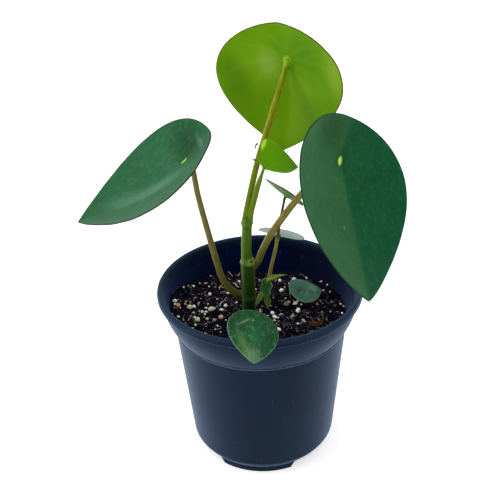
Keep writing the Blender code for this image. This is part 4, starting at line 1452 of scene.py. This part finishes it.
@dataclass
class Soil:
    """Potting mix: a lumpy plug, crumbs and bark chips, white granules and fibres."""

    pot: Pot
    camera: PhotoCamera
    edge_height: float = 80.0
    crown: float = 1.0
    left_rise: float = 4.6
    right_rise: float = 1.6
    heap: float = 4.0
    relief: float = 1.1
    lump: float = 7.0
    rings: int = 96
    steps: int = 260
    crumbs: int = 2600
    chips: int = 340
    granules: int = 260
    fibres: int = 430

    CLODS, GRAINS, DUST = (3.1, 0.75), (1.2, 0.55), (0.55, 0.22)   # size and height, mm
    BROWN = (315.0, 323.5)             # pixel of the brown chips in the photograph
    BROWN_CHIPS = 16
    CRUMB_SIZE = (0.32, 0.75, 2.6)     # least size, spread and skew; so too in the next three
    CHIP_LENGTH = (0.9, 2.2, 2)
    GRANULE_SIZE = (0.22, 0.42, 2)
    FIBRE_RADIUS = (0.08, 0.17, 2)
    TILT = 0.35                        # radians: how unevenly grains lie
    GRANULE_SCALE = 0.86               # size of a placed granule, of the size that was read
    FLATNESS = 0.85                    # a granule's height, of its width
    STRIDE = 1.2                       # mm between the points of a fibre

    def height(self, x: float, y: float) -> float:
        """Height of the smooth surface over a point of the plan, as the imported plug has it."""
        kink, wall = self.pot.kink, self.pot.wall
        reach = math.hypot(x, y) / (kink - wall)
        lumps = bumps(x, y, self.lump, 0.5)
        side = abs(x) / kink
        slope = self.right_rise * side if x > 0 else self.left_rise * side + self.heap * side ** 6
        return self.edge_height + self.crown * (1 - reach ** 2) + slope + self.relief * lumps

    def surface(self, x: float, y: float) -> float:
        """Height of the rough surface: the smooth one with clods and grains on it."""
        clods, grains, fine = (bumps(x, y, size, layer) * tall for (size, tall), layer in (
            (self.CLODS, 4.0), (self.GRAINS, 9.0), (self.DUST, 2.0)))
        return self.height(x, y) + clods + abs(grains) + fine - 0.2

    def edge(self, direction: Vector) -> float:
        """Radius at which the surface meets the pot's inside, in one direction."""
        radius = self.pot.kink
        for _ in range(4):
            height = self.height(direction.x * radius, direction.y * radius)
            radius = self.pot.inner_radius(height) + 0.1
        return radius

    def spot(self, draw: random.Random, lean: Pair = (0.0, 0.0), limit: float = 0.97) -> Vector:
        """Draw a place on the surface.

        Args:
            draw: The source of random numbers.
            lean: How far the places are crowded towards one side, in shares of the radius.
            limit: How near to the wall they come, in shares of the radius.

        Returns:
            A point on the rough surface.
        """
        reach = limit * math.sqrt(draw.random())
        turn = draw.uniform(0.0, math.tau)
        direction = Vector((math.cos(turn), math.sin(turn)))
        plan = direction * reach * self.edge(direction)
        plan += Vector(lean) * (1.0 - reach) * self.pot.kink
        return Vector((*plan, self.surface(*plan)))

    def bed_mesh(self) -> bpy.types.Mesh:
        """The plug: its rough top is a warped disc, and it is plain where the pot hides it."""
        pot, slack = self.pot, self.pot.floor + GAP
        shoulder = pot.ledge_height - 3 * GAP
        top = [(index / self.rings, self.edge_height) for index in range(self.rings + 1)]
        below = [
            (pot.wall_radius(shoulder) - pot.wall - GAP, shoulder),
            (pot.base - pot.wall - GAP, pot.base_height + pot.round_size),
            (pot.foot - GAP, pot.foot_height + slack), (pot.pad - GAP, pot.foot_height + slack),
            (pot.pad - pot.floor - 2 * GAP, slack), (0.0, slack),
        ]
        bm = turned(top + below, self.steps)
        for vert in bm.verts:
            if vert.co.z < self.edge_height - MERGE:
                continue
            share = math.hypot(vert.co.x, vert.co.y)
            x, y = 0.0, 0.0
            if share > 0.0:
                direction = Vector((vert.co.x, vert.co.y)) / share
                x, y = direction * self.edge(direction) * share
            vert.co = Vector((x, y, self.surface(x, y)))
        bmesh.ops.scale(bm, vec=(MM,) * 3, verts=bm.verts)
        bmesh.ops.recalc_face_normals(bm, faces=bm.faces)
        return as_mesh("soil_bed", bm)

    def lumps(self, draw: random.Random, count: int, subdivisions: int,
              rough: float) -> list[bpy.types.Mesh]:
        """A few uneven pebbles of radius 1, to be repeated.

        Args:
            draw: The source of random numbers.
            count: How many.
            subdivisions: How finely each is divided.
            rough: How uneven they are.

        Returns:
            Their meshes, each with an attribute named tone.
        """
        shapes = []
        for _ in range(count):
            bm = bmesh.new()
            bm.verts.layers.float.new("tone")
            bmesh.ops.create_icosphere(bm, subdivisions=subdivisions, radius=1.0)
            for vert in bm.verts:
                vert.co *= 1.0 + draw.uniform(-rough, rough)
            shapes.append(as_mesh("lump", bm))
        return shapes

    def scattered(self, name: str, shapes: Sequence[bpy.types.Mesh],
                  places: Sequence[tuple[Matrix, float]]) -> bpy.types.Mesh:
        """Repeat shapes at places and gather them in one mesh.

        Args:
            name: The mesh's name.
            shapes: The shapes, taken in turn and then discarded.
            places: A matrix, in millimetres, and a tone for each copy.

        Returns:
            The mesh.
        """
        bm = bmesh.new()
        for index, (place, tone) in enumerate(places):
            copy = shapes[index % len(shapes)].copy()
            copy.transform(Matrix.Scale(MM, 4) @ place)
            copy.attributes["tone"].data.foreach_set("value", [tone] * len(copy.vertices))
            bm.from_mesh(copy)
            bpy.data.meshes.remove(copy)
        for shape in shapes:
            bpy.data.meshes.remove(shape)
        return as_mesh(name, bm)

    def placed(self, point: Vector, size: Triple, draw: random.Random,
               turn: float | None = None) -> Matrix:
        """Set a shape of radius 1 down at a point, a little tilted.

        Args:
            point: Where its middle is.
            size: Its half-axes.
            draw: The source of random numbers.
            turn: Degrees about Z, or any turn if not given.

        Returns:
            The matrix that places it.
        """
        spin = draw.uniform(0.0, math.tau) if turn is None else math.radians(turn)
        tilt = Matrix.Rotation(draw.gauss(0.0, self.TILT), 4, 'X')
        roll = Matrix.Rotation(draw.gauss(0.0, self.TILT), 4, 'Y')
        return (Matrix.Translation(point) @ Matrix.Rotation(spin, 4, 'Z') @ tilt @ roll
                @ Matrix.Diagonal((*size, 1.0)))

    def crumb_mesh(self, draw: random.Random) -> bpy.types.Mesh:
        """Crumbs of peat, most of them small."""
        places = []
        for _ in range(self.crumbs):
            radius = skewed(draw, *self.CRUMB_SIZE)
            point = self.spot(draw)
            point.z += radius * draw.uniform(-0.2, 0.35)
            size = (radius * draw.uniform(0.8, 1.4), radius * draw.uniform(0.7, 1.1),
                    radius * draw.uniform(0.6, 0.95))
            places.append((self.placed(point, size, draw), draw.random() ** 1.7))
        return self.scattered("soil_crumbs", self.lumps(draw, 9, 1, 0.22), places)

    def chip_mesh(self, draw: random.Random) -> bpy.types.Mesh:
        """Flat slivers of bark."""
        places = []
        for _ in range(self.chips):
            length = skewed(draw, *self.CHIP_LENGTH)
            point = self.spot(draw, limit=0.93)
            point.z += draw.uniform(0.0, 0.5)
            size = (length, length * draw.uniform(0.22, 0.5), draw.uniform(0.16, 0.34))
            places.append((self.placed(point, size, draw), draw.random()))
        brown = self.camera.drop(self.BROWN, self.height)
        for _ in range(self.BROWN_CHIPS):
            point = brown + Vector((draw.gauss(0.0, 1.8), draw.gauss(0.0, 1.3), 0.0))
            point.z = self.surface(point.x, point.y) + 0.35
            size = (draw.uniform(0.8, 1.6), draw.uniform(0.5, 0.9), 0.4)
            places.append((self.placed(point, size, draw), 1.0))
        return self.scattered("bark_chips", self.lumps(draw, 8, 1, 0.28), places)

    def granule_mesh(self, draw: random.Random) -> bpy.types.Mesh:
        """Puffed white granules: those that the photograph shows, and smaller ones between."""
        places = []
        for grain in GRANULES:
            point = self.camera.drop(grain.pixel, self.height)
            width = self.GRANULE_SCALE * grain.size
            size = (width * grain.long, width, width * self.FLATNESS)
            point.z = self.surface(point.x, point.y) + grain.size * 0.35
            places.append((self.placed(point, size, draw, grain.turn), grain.grit.value))
        tones = [grit.value for grit in Grit]
        for index in range(self.granules):
            crowded = index < self.granules * 0.6
            point = self.spot(draw, lean=(-0.35, -0.45) if crowded else (0.0, 0.0))
            radius = skewed(draw, *self.GRANULE_SIZE)
            point.z += radius * 0.4
            size = (radius * draw.uniform(1.0, 1.5), radius, radius * self.FLATNESS)
            places.append((self.placed(point, size, draw), draw.choice(tones)))
        return self.scattered("white_granules", self.lumps(draw, 14, 2, 0.24), places)

    def fibre_mesh(self, draw: random.Random) -> bpy.types.Mesh:
        """Rootlets and fibres that lie on the soil and lift off it here and there."""
        gathered = bmesh.new()
        courses = []
        for strand in STRANDS:
            points = [self.camera.drop(pixel, self.height) for pixel in strand.pixels]
            for point in points:
                point.z = self.surface(point.x, point.y) + strand.radius * 1.6
            courses.append((points, strand.radius, strand.tone))
        for _ in range(self.fibres):
            point = self.spot(draw, lean=(-0.25, 0.05), limit=0.88)
            heading, bend = draw.uniform(0.0, math.tau), draw.gauss(0.0, 0.18)
            points = []
            for _ in range(draw.randint(3, 5)):
                lifted = self.surface(point.x, point.y) + draw.uniform(0.05, 0.5)
                points.append(Vector((point.x, point.y, lifted)))
                heading += bend + draw.gauss(0.0, 0.12)
                point = point + Vector((math.cos(heading), math.sin(heading), 0.0)) * self.STRIDE
                if math.hypot(point.x, point.y) > 0.92 * self.pot.kink:
                    break
            if len(points) > 2:
                courses.append((points, skewed(draw, *self.FIBRE_RADIUS), draw.random() ** 1.9))
        for points, radius, tone in courses:
            route = smooth_route(points, 0.9)
            radii = [radius * (1.0 - 0.45 * index / len(route)) for index in range(len(route))]
            bm = sweep(*domed(route, radii), sides=6, facing=(0.0, 0.0, 1.0))
            tone_of = bm.verts.layers.float.new("tone")
            for vert in bm.verts:
                vert[tone_of] = tone
            piece = as_mesh("strand", bm)
            gathered.from_mesh(piece)
            bpy.data.meshes.remove(piece)
        return as_mesh("root_fibres", gathered)

    def peat(self) -> bpy.types.Material:
        """Nearly black, with a purple cast and browner grains."""
        graph = Graph("peat", 0.95, 0.06)
        place = graph.object_place()
        fine = graph.cloud(place, 1.1, 5.0, 0.7)
        colour = graph.layered(
            screen(3, 4, 24),
            (screen(12, 10, 32), graph.fade(graph.cloud(place, 0.12, 3.0), 0.4, 0.65)),
            (screen(50, 42, 58), graph.fade(fine, 0.5, 0.75, 0.0, 0.3)),
            (screen(116, 92, 84), graph.dots(place, 0.75, 0.3, 0.18), 0.5))
        return graph.done(colour, None, graph.relief(fine, 0.5, 0.9))

    def build(self) -> None:
        """Make the plug and what is strewn on it."""
        draw = random.Random(SEED)
        show("soil_bed", self.bed_mesh(), self.peat(), "soil", "soil")
        show("soil_crumbs", self.crumb_mesh(draw), CRUMB_PEAT.material(), "soil")
        show("bark_chips", self.chip_mesh(draw), CHIP_BARK.material(), "soil")
        show("white_granules", self.granule_mesh(draw), GRANULE_CHALK.material(), "soil")
        show("root_fibres", self.fibre_mesh(draw), FIBRE.material(), "soil")


LEFT = BladeForm((-34.8, -8.0, 174.9), -168.1, -41.4, -3.5, 82.9, 0.79, 0.23, bow=-0.19,
                 arch=-0.05, fold=0.23, sweep=-0.38, taper=0.83, thick=1.2)
RIGHT = BladeForm((39.6, -15.0, 175.4), -110.4, -57.7, -66.7, 83.8, 0.97, 0.25, bow=-0.54,
                  arch=-0.34, fold=0.09, sweep=0.09, taper=0.6, thick=1.2)
BACK = BladeForm((17.0, 20.0, 214.5), 49.0, -73.4, -14.8, 73.3, 0.875, 0.28, bow=0.1, arch=0.19,
                 fold=-0.24, sweep=0.305, taper=0.83, thick=1.2, aside=3.2)
YOUNG = BladeForm((4.4, -5.8, 169.8), -37.2, -16.2, -65.1, 22.7, 0.94, 0.38, bow=-0.9,
                  arch=-0.06, fold=0.74, sweep=-0.27, taper=0.8, nick=(184.0, 25.0, 0.42))
REAR_UPPER = BladeForm((15.5, 15.1, 144.0), 158.3, 29.9, 36.4, 24.3, 0.85, 0.42, bow=-0.13,
                       fold=0.15)
REAR_LOW = BladeForm((12.1, 22.5, 118.3), 141.3, -12.2, 37.2, 28.6, 0.85, 0.46, arch=0.09)
FRONT = BladeForm((-3.4, -51.0, 110.9), -90.6, -24.0, -20.0, 28.6, 0.84, 0.19, arch=0.11,
                  taper=0.7)
ON_SOIL = BladeForm((21.8, 9.2, 88.4), 26.8, -4.0, 16.1, 20.2, 0.86, 0.26, bow=0.3, arch=0.12,
                    taper=0.7)
SHOOT_DARK = BladeForm((3.9, 5.8, 98.0), -100.0, -78.0, 10.0, 13.0, 0.46, 0.08, fold=0.5,
                       ragged=0.2)
SHOOT_YELLOW = BladeForm((4.2, 4.9, 99.0), 0.0, 26.0, 30.0, 11.4, 0.22, 0.08, bow=0.45, fold=0.5,
                         taper=1.5)
SHOOT_OLIVE_LEFT = BladeForm((2.0, 5.9, 90.5), -160.0, -60.0, 0.0, 11.0, 0.44, 0.08, fold=0.4)
SHOOT_OLIVE_RIGHT = BladeForm((3.8, 5.0, 87.0), -80.0, -60.0, 0.0, 6.0, 0.55, 0.08, fold=0.4)

LARGE = {"rings": 46, "steps": 168}
SMALL = {"groove": 0.08}
CRUMPLED = {"rings": 12, "steps": 64, "groove": 0.0, "waves": 0.5}

OLIVE_SKIN = LeafFinish(
    face=screen(112, 134, 52), outer=screen(104, 128, 50), under=screen(96, 118, 44),
    margin=screen(136, 152, 86), vein_show=0.0)

# Three full-grown leaves, the young one, four small ones and the side shoot's crumpled ones
BLADES = (
    Blade("leaf_left", LEFT, LeafFinish(
        face=screen(40, 98, 62), outer=screen(32, 92, 54), under=screen(96, 136, 84),
        under_outer=screen(90, 132, 80), margin=screen(38, 52, 42), margin_width=0.3,
        seat=screen(150, 205, 50), seat_size=(2.6, 1.2), bloom_show=0.06,
        # The first and last patches are painted sheen bands; the middle one is darker skin
        patches=(Patch((24.0, 3.0), (37.0, 8.5), -19.0, screen(78, 126, 98), 0.8, 0.1),
                 Patch((-6.0, -8.0), (13.0, 27.0), 0.0, screen(14, 68, 32), 0.92, 0.1),
                 Patch((-12.0, 2.0), (2.4, 13.0), 0.0, screen(76, 118, 98), 0.6, 0.2))), **LARGE),
    Blade("leaf_right", RIGHT, LeafFinish(
        face=screen(15, 83, 46), outer=screen(13, 83, 50), under=screen(96, 136, 84),
        under_outer=screen(90, 132, 80), margin=screen(26, 64, 38), margin_width=0.2,
        # Painted sheen on the half at negative across
        painted_sheen_half=screen(46, 100, 59), painted_sheen_mix=0.9, half_bow=9.0,
        seat=screen(176, 220, 96), seat_size=(3.0, 2.0), seat_shade_show=0.75,
        bloom_show=0.04, streak_show=0.03, vein_show=0.03, specular=0.04, roughness=0.48,
        patches=(Patch((31.0, 2.0), (1.7, 1.2), 0.0, screen(110, 150, 112), 0.5),
                 Patch((-13.0, -14.0), (17.0, 22.0), 0.0, screen(14, 68, 24), 0.75),
                 Patch((-0.6, -21.1), (9.0, 10.0), 0.0, screen(30, 84, 44), 0.4))), **LARGE),
    Blade("leaf_back", BACK, LeafFinish(
        face=screen(58, 118, 50), outer=screen(60, 120, 50), under=screen(106, 153, 4),
        under_outer=screen(98, 146, 0), margin=screen(74, 92, 10), margin_width=0.35,
        seat=screen(150, 200, 60), vein=screen(150, 182, 90), vein_show=0.035,
        bloom=screen(130, 170, 60), bloom_show=0.04, shade_show=0.2, specular=0.05,
        roughness=0.45,
        # The patch at (36, 3) brightens the lower part, painted light, and the one at (-6, -9)
        # darkens the top and right, painted shade
        under_patches=(Patch((8.0, 26.5), (24.0, 10.0), -10.0, screen(78, 124, 0), 0.75),
                       Patch((36.0, 3.0), (20.0, 18.0), 0.0, screen(124, 168, 12), 0.7),
                       Patch((8.0, -16.5), (10.0, 9.0), 0.0, screen(84, 134, 0), 0.5),
                       Patch((1.0, 9.5), (12.0, 8.5), 0.0, screen(136, 166, 70), 0.5),
                       Patch((3.0, -27.0), (20.0, 8.0), -8.0, screen(128, 158, 44), 0.6),
                       Patch((-6.0, -9.0), (19.0, 22.0), 0.0, screen(72, 122, 0), 0.75),
                       Patch((0.0, 0.0), (3.4, 2.8), 0.0, screen(160, 206, 30), 0.9, 0.5))),
        "leaf_bright", veins=Venation(width=2.3), **LARGE),
    Blade("leaf_young", YOUNG, LeafFinish(
        face=screen(92, 150, 10), outer=screen(84, 144, 8), under=screen(96, 152, 0),
        under_outer=screen(88, 142, 0), margin=screen(92, 140, 24), margin_width=0.3,
        bloom=screen(140, 190, 40), bloom_show=0.02, vein=screen(124, 172, 30), specular=0.05,
        under_patches=(Patch((-5.6, -7.9), (2.8, 3.6), 0.0, screen(182, 216, 62), 0.9, 0.4),)),
        "leaf_bright", **SMALL),
    Blade("leaf_rear_upper", REAR_UPPER, LeafFinish(
        face=screen(82, 122, 76), outer=screen(76, 116, 70), under=screen(114, 148, 76),
        under_outer=screen(108, 142, 70), margin=screen(64, 92, 70), margin_width=0.3,
        bloom_show=0.2), **SMALL),
    Blade("leaf_rear_low", REAR_LOW, LeafFinish(
        # Painted light: the near-white lower skin and the glow stand in for light shining through
        # the blade from behind
        face=screen(84, 124, 94), outer=screen(92, 130, 100), under=screen(198, 224, 214),
        under_outer=screen(222, 238, 230), margin=screen(150, 176, 160), margin_width=0.3,
        bloom=screen(220, 232, 224), bloom_show=0.3, shade_show=0.2, glow=0.27), **SMALL),
    Blade("leaf_front", FRONT, LeafFinish(
        face=screen(36, 88, 54), outer=screen(31, 81, 49), under=screen(110, 150, 90),
        margin=screen(92, 132, 80), margin_width=0.2, bloom_show=0.2, streak_show=0.2,
        seat=screen(92, 138, 100), seat_size=(1.2, 0.8),
        # The pale streak at (1.5, -4.5) is a painted highlight
        patches=(Patch((20.0, -1.0), (8.0, 6.5), 0.0, screen(134, 166, 126), 0.5, 0.1),
                 Patch((1.5, -4.5), (6.0, 1.0), -55.0, screen(176, 200, 186), 0.4, 0.0),
                 Patch((14.0, -5.0), (11.0, 4.5), 25.0, screen(104, 146, 76), 0.55, 0.0),
                 Patch((9.0, 0.0), (8.0, 4.5), 0.0, screen(48, 116, 62), 0.6),
                 Patch((8.0, 8.0), (9.0, 4.0), 20.0, screen(28, 76, 46), 0.6))), **SMALL),
    Blade("leaf_soil", ON_SOIL, LeafFinish(
        face=screen(62, 104, 90), outer=screen(74, 118, 104), under=screen(90, 120, 96),
        margin=screen(112, 146, 128), margin_width=0.3, bloom=screen(130, 164, 144),
        bloom_show=0.35, seat=screen(36, 78, 60), seat_size=(1.6, 1.2),
        patches=(Patch((9.0, 0.5), (4.5, 3.0), 0.0, screen(116, 154, 136), 0.7),
                 Patch((2.6, -4.0), (3.2, 2.4), 0.0, screen(96, 136, 124), 0.6))), **SMALL),
    Blade("shoot_leaf_dark", SHOOT_DARK, LeafFinish(
        face=screen(68, 138, 92), outer=screen(88, 148, 78), under=screen(76, 132, 66),
        under_outer=screen(84, 138, 66), margin=screen(128, 166, 96), vein_show=0.0), **CRUMPLED),
    Blade("shoot_leaf_yellow", SHOOT_YELLOW, LeafFinish(
        face=screen(140, 170, 30), outer=screen(128, 160, 30), under=screen(110, 140, 20),
        margin=screen(150, 180, 70), vein_show=0.0), "leaf_bright", **CRUMPLED),
    Blade("shoot_leaf_olive_left", SHOOT_OLIVE_LEFT, OLIVE_SKIN, "leaf_olive", **CRUMPLED),
    Blade("shoot_leaf_olive_right", SHOOT_OLIVE_RIGHT, OLIVE_SKIN, "leaf_olive", **CRUMPLED),
)

THIN_SKIN = StalkFinish(screen(90, 96, 40), screen(74, 90, 34), screen(70, 92, 40),
                        flank=screen(110, 130, 80), freckle_show=0.15)
DRY_SKIN = StalkFinish(screen(112, 116, 84), screen(92, 90, 78), screen(70, 66, 60),
                       flank=screen(140, 136, 120), freckle=screen(50, 44, 40), freckle_show=0.5,
                       roughness=0.8)
DRIED = {"slot": "dried_tip", "spacing": 0.3, "sides": 12, "round_end": True, "root_flare": 0.2,
         "root_reach": 1.0}

# The leaf stalks, the side stem and the dried tips of the young leaf
STALKS = (
    Stalk("petiole_left", (
        (-8.0, -0.2, 92.9), (-13.0, -1.1, 94.6), (-17.8, -2.0, 100.2), (-20.7, -2.5, 108.3),
        (-24.65, -3.5, 127.8), (-29.3, -5.1, 154.1)), 1.95, 1.4,
        StalkFinish(screen(84, 104, 20), screen(126, 120, 58), screen(130, 118, 54),
                    flank=screen(146, 136, 68)), LEFT, lead=2.2),
    Stalk("petiole_right", (
        (-4.0, -0.2, 109.4), (-0.4, -0.7, 114.2), (2.4, -1.3, 121.7), (8.3, -3.0, 133.9),
        (20.7, -6.5, 153.3), (29.4, -9.0, 163.8)), 1.95, 1.65,
        StalkFinish(screen(94, 106, 30), screen(150, 138, 60), screen(162, 147, 70),
                    flank=screen(184, 174, 110), freckle_show=0.3, blend=(0.42, 0.9)), RIGHT),
    Stalk("petiole_back", (
        (-6.7, 0.3, 137.35), (-5.0, 1.2, 145.6), (0.2, 5.0, 166.2), (5.7, 9.5, 182.1),
        (10.8, 14.0, 197.6), (13.7, 17.3, 205.4)), 1.5, 1.2,
        StalkFinish(screen(110, 150, 4), screen(149, 154, 2), screen(140, 156, 6),
                    flank=screen(176, 190, 60), highlight_width=0.09, both_highlights=True,
                    freckle=screen(150, 110, 10), freckle_show=0.15, blend=(0.55, 0.9),
                    cap_show=0.9), BACK, sink=1.6, lead=0.7,
        sheath=((0.0, 0.0), (0.12, 0.18), (0.3, 0.24), (0.5, 0.34), (0.75, 0.34), (0.93, 0.05),
                (1.0, 0.0))),
    Stalk("petiole_young", (
        (-3.95, -0.5, 137.35), (-3.5, -0.8, 142.1), (-1.2, -1.0, 150.9), (0.3, -2.6, 157.4),
        (1.9, -4.4, 163.3), (3.2, -6.2, 167.8), (3.75, -6.5, 169.4)), 0.95, 0.75,
        StalkFinish(screen(110, 160, 4), screen(120, 148, 4), screen(116, 152, 8),
                    flank=screen(164, 186, 50), highlight_show=0.8, highlight_width=0.085,
                    freckle_show=0.05), sink=1.4, root_flare=0.25, root_reach=6.0,
        sheath=((0.0, 0.4), (0.2, 0.6), (0.55, 0.58), (0.72, 0.5), (0.88, 0.1), (1.0, 0.0))),
    Stalk("side_stem", (
        (3.3, 8.0, 72.0), (3.3, 8.0, 78.0), (3.5, 8.0, 84.0), (5.2, 8.0, 98.5),
        (8.8, 9.0, 114.4), (10.1, 9.7, 122.2)), 1.15, 0.95,
        StalkFinish(screen(152, 142, 60), screen(172, 160, 88), screen(164, 164, 64),
                    flank=screen(206, 196, 152), freckle_show=0.12),
        slot="stem_green", root_flare=0.1, round_end=True),
    Stalk("petiole_rear_upper", ((10.25, 9.8, 122.6), (11.7, 10.2, 132.0), (13.0, 11.0, 138.0)),
          0.85, 0.65, THIN_SKIN, REAR_UPPER, sink=1.2, sides=14, lead=1.0),
    Stalk("petiole_rear_low", ((10.25, 10.9, 120.4), (10.7, 14.5, 117.4)), 0.55, 0.5, THIN_SKIN,
          REAR_LOW, sink=1.2, sides=14),
    Stalk("petiole_front", (
        (-5.0, -8.0, 72.0), (-5.0, -8.0, 78.0), (-5.0, -8.2, 83.0), (-5.4, -14.0, 89.0),
        (-6.0, -32.0, 98.5)), 1.0, 0.8, THIN_SKIN, FRONT, facing=(0.0, 0.0, 1.0),
        root_flare=0.1, sides=16),
    Stalk("petiole_soil", ((20.4, 12.6, 74.0), (20.4, 12.6, 79.0)), 0.8, 0.7, THIN_SKIN, ON_SOIL,
          root_flare=0.1, sides=14),
    Stalk("dried_tip_upper", ((1.1, -0.7, 179.7), (0.1, -1.0, 179.1), (-0.2, -1.4, 177.5)),
          0.45, 0.3, DRY_SKIN, **DRIED),
    Stalk("dried_tip_lower", ((-0.1, -2.9, 171.8), (-1.7, -3.0, 172.3)), 0.5, 0.3, DRY_SKIN,
          **DRIED),
)


@dataclass
class Studio:
    """A plain pale floor and plain soft light all round."""

    floor_size: float = 6.0
    sky: float = 0.95
    front_sky: float = 0.5
    left_watts: float = 2.6
    top_watts: float = 3.0

    AIM = (0.0, 0.0, 0.12)             # metres: where the lamps look
    FLOOR_GLOW = 0.55

    def floor(self) -> None:
        """A wide floor under the pot."""
        bm = bmesh.new()
        bmesh.ops.create_grid(bm, x_segments=1, y_segments=1, size=self.floor_size)
        graph = Graph("studio_floor", 0.9, 0.1)
        graph.lit((1.0, 1.0, 1.0), self.FLOOR_GLOW)
        grain = graph.cloud(graph.object_place(), 0.02, 2.0)
        tone = graph.mix(graph.fade(grain, 0.3, 0.7), (0.88, 0.88, 0.88), (0.9, 0.9, 0.9))
        piece = in_scene("studio_floor", as_mesh("studio_floor", bm))
        piece.data.materials.append(graph.done(tone))
        piece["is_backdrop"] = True

    def world(self) -> None:
        """Even white light, weaker from the side that the camera stands on."""
        world = bpy.data.worlds.new("studio_light")
        bpy.context.scene.world = world
        world.use_nodes = True
        tree = Tree(world.node_tree)
        background = tree.tree.nodes["Background"]
        _, depth, _ = tree.split(tree.step("ShaderNodeTexCoord", {}).outputs["Generated"])
        seen = tree.step("ShaderNodeLightPath", {}).outputs["Is Camera Ray"]
        level = tree.fade(depth, -0.9, 0.1, self.front_sky, self.sky)
        tree.feed(background.inputs["Strength"], tree.math('MAXIMUM', level, seen))
        tree.feed(background.inputs["Color"], (1.0, 1.0, 1.0))

    def lamp(self, name: str, place: Triple, size: float, watts: float) -> None:
        """A square soft light that looks at the plant.

        Args:
            name: Its name.
            place: Where it stands, in metres.
            size: Its side, in metres.
            watts: Its power.
        """
        data = bpy.data.lights.new(name, 'AREA')
        data.size, data.energy = size, watts
        lamp = in_scene(name, data)
        lamp.location = place
        aim = Vector(self.AIM) - Vector(place)
        lamp.rotation_mode = 'QUATERNION'
        lamp.rotation_quaternion = aim.to_track_quat('-Z', 'Y')

    def build(self) -> None:
        """Set up the floor, the light and the way that the picture is developed."""
        self.floor()
        self.world()
        self.lamp("left_softbox", (-0.9, -0.3, 0.5), 0.45, self.left_watts)
        self.lamp("overhead_softbox", (-0.2, 0.1, 1.1), 0.8, self.top_watts)
        bpy.context.scene.view_settings.view_transform = 'Standard'


def main() -> None:
    """Build the studio and dress the part."""
    camera, pot = PhotoCamera(), Pot()
    for part in (camera, Studio(), pot, Soil(pot, camera), MainStem(), *STALKS, *BLADES):
        part.build()
    sizes = {"cad": cad_box, "visual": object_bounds()}
    json.dumps({key: [list(corner) for corner in box]
                                     for key, box in sizes.items()})
    for key, (low, high) in sizes.items():
        log.info("%s box: %s mm", key, [round(side / MM, 1) for side in high - low])


if __name__ == "__main__":
    logging.basicConfig(level=logging.INFO, format="%(message)s")
    main()
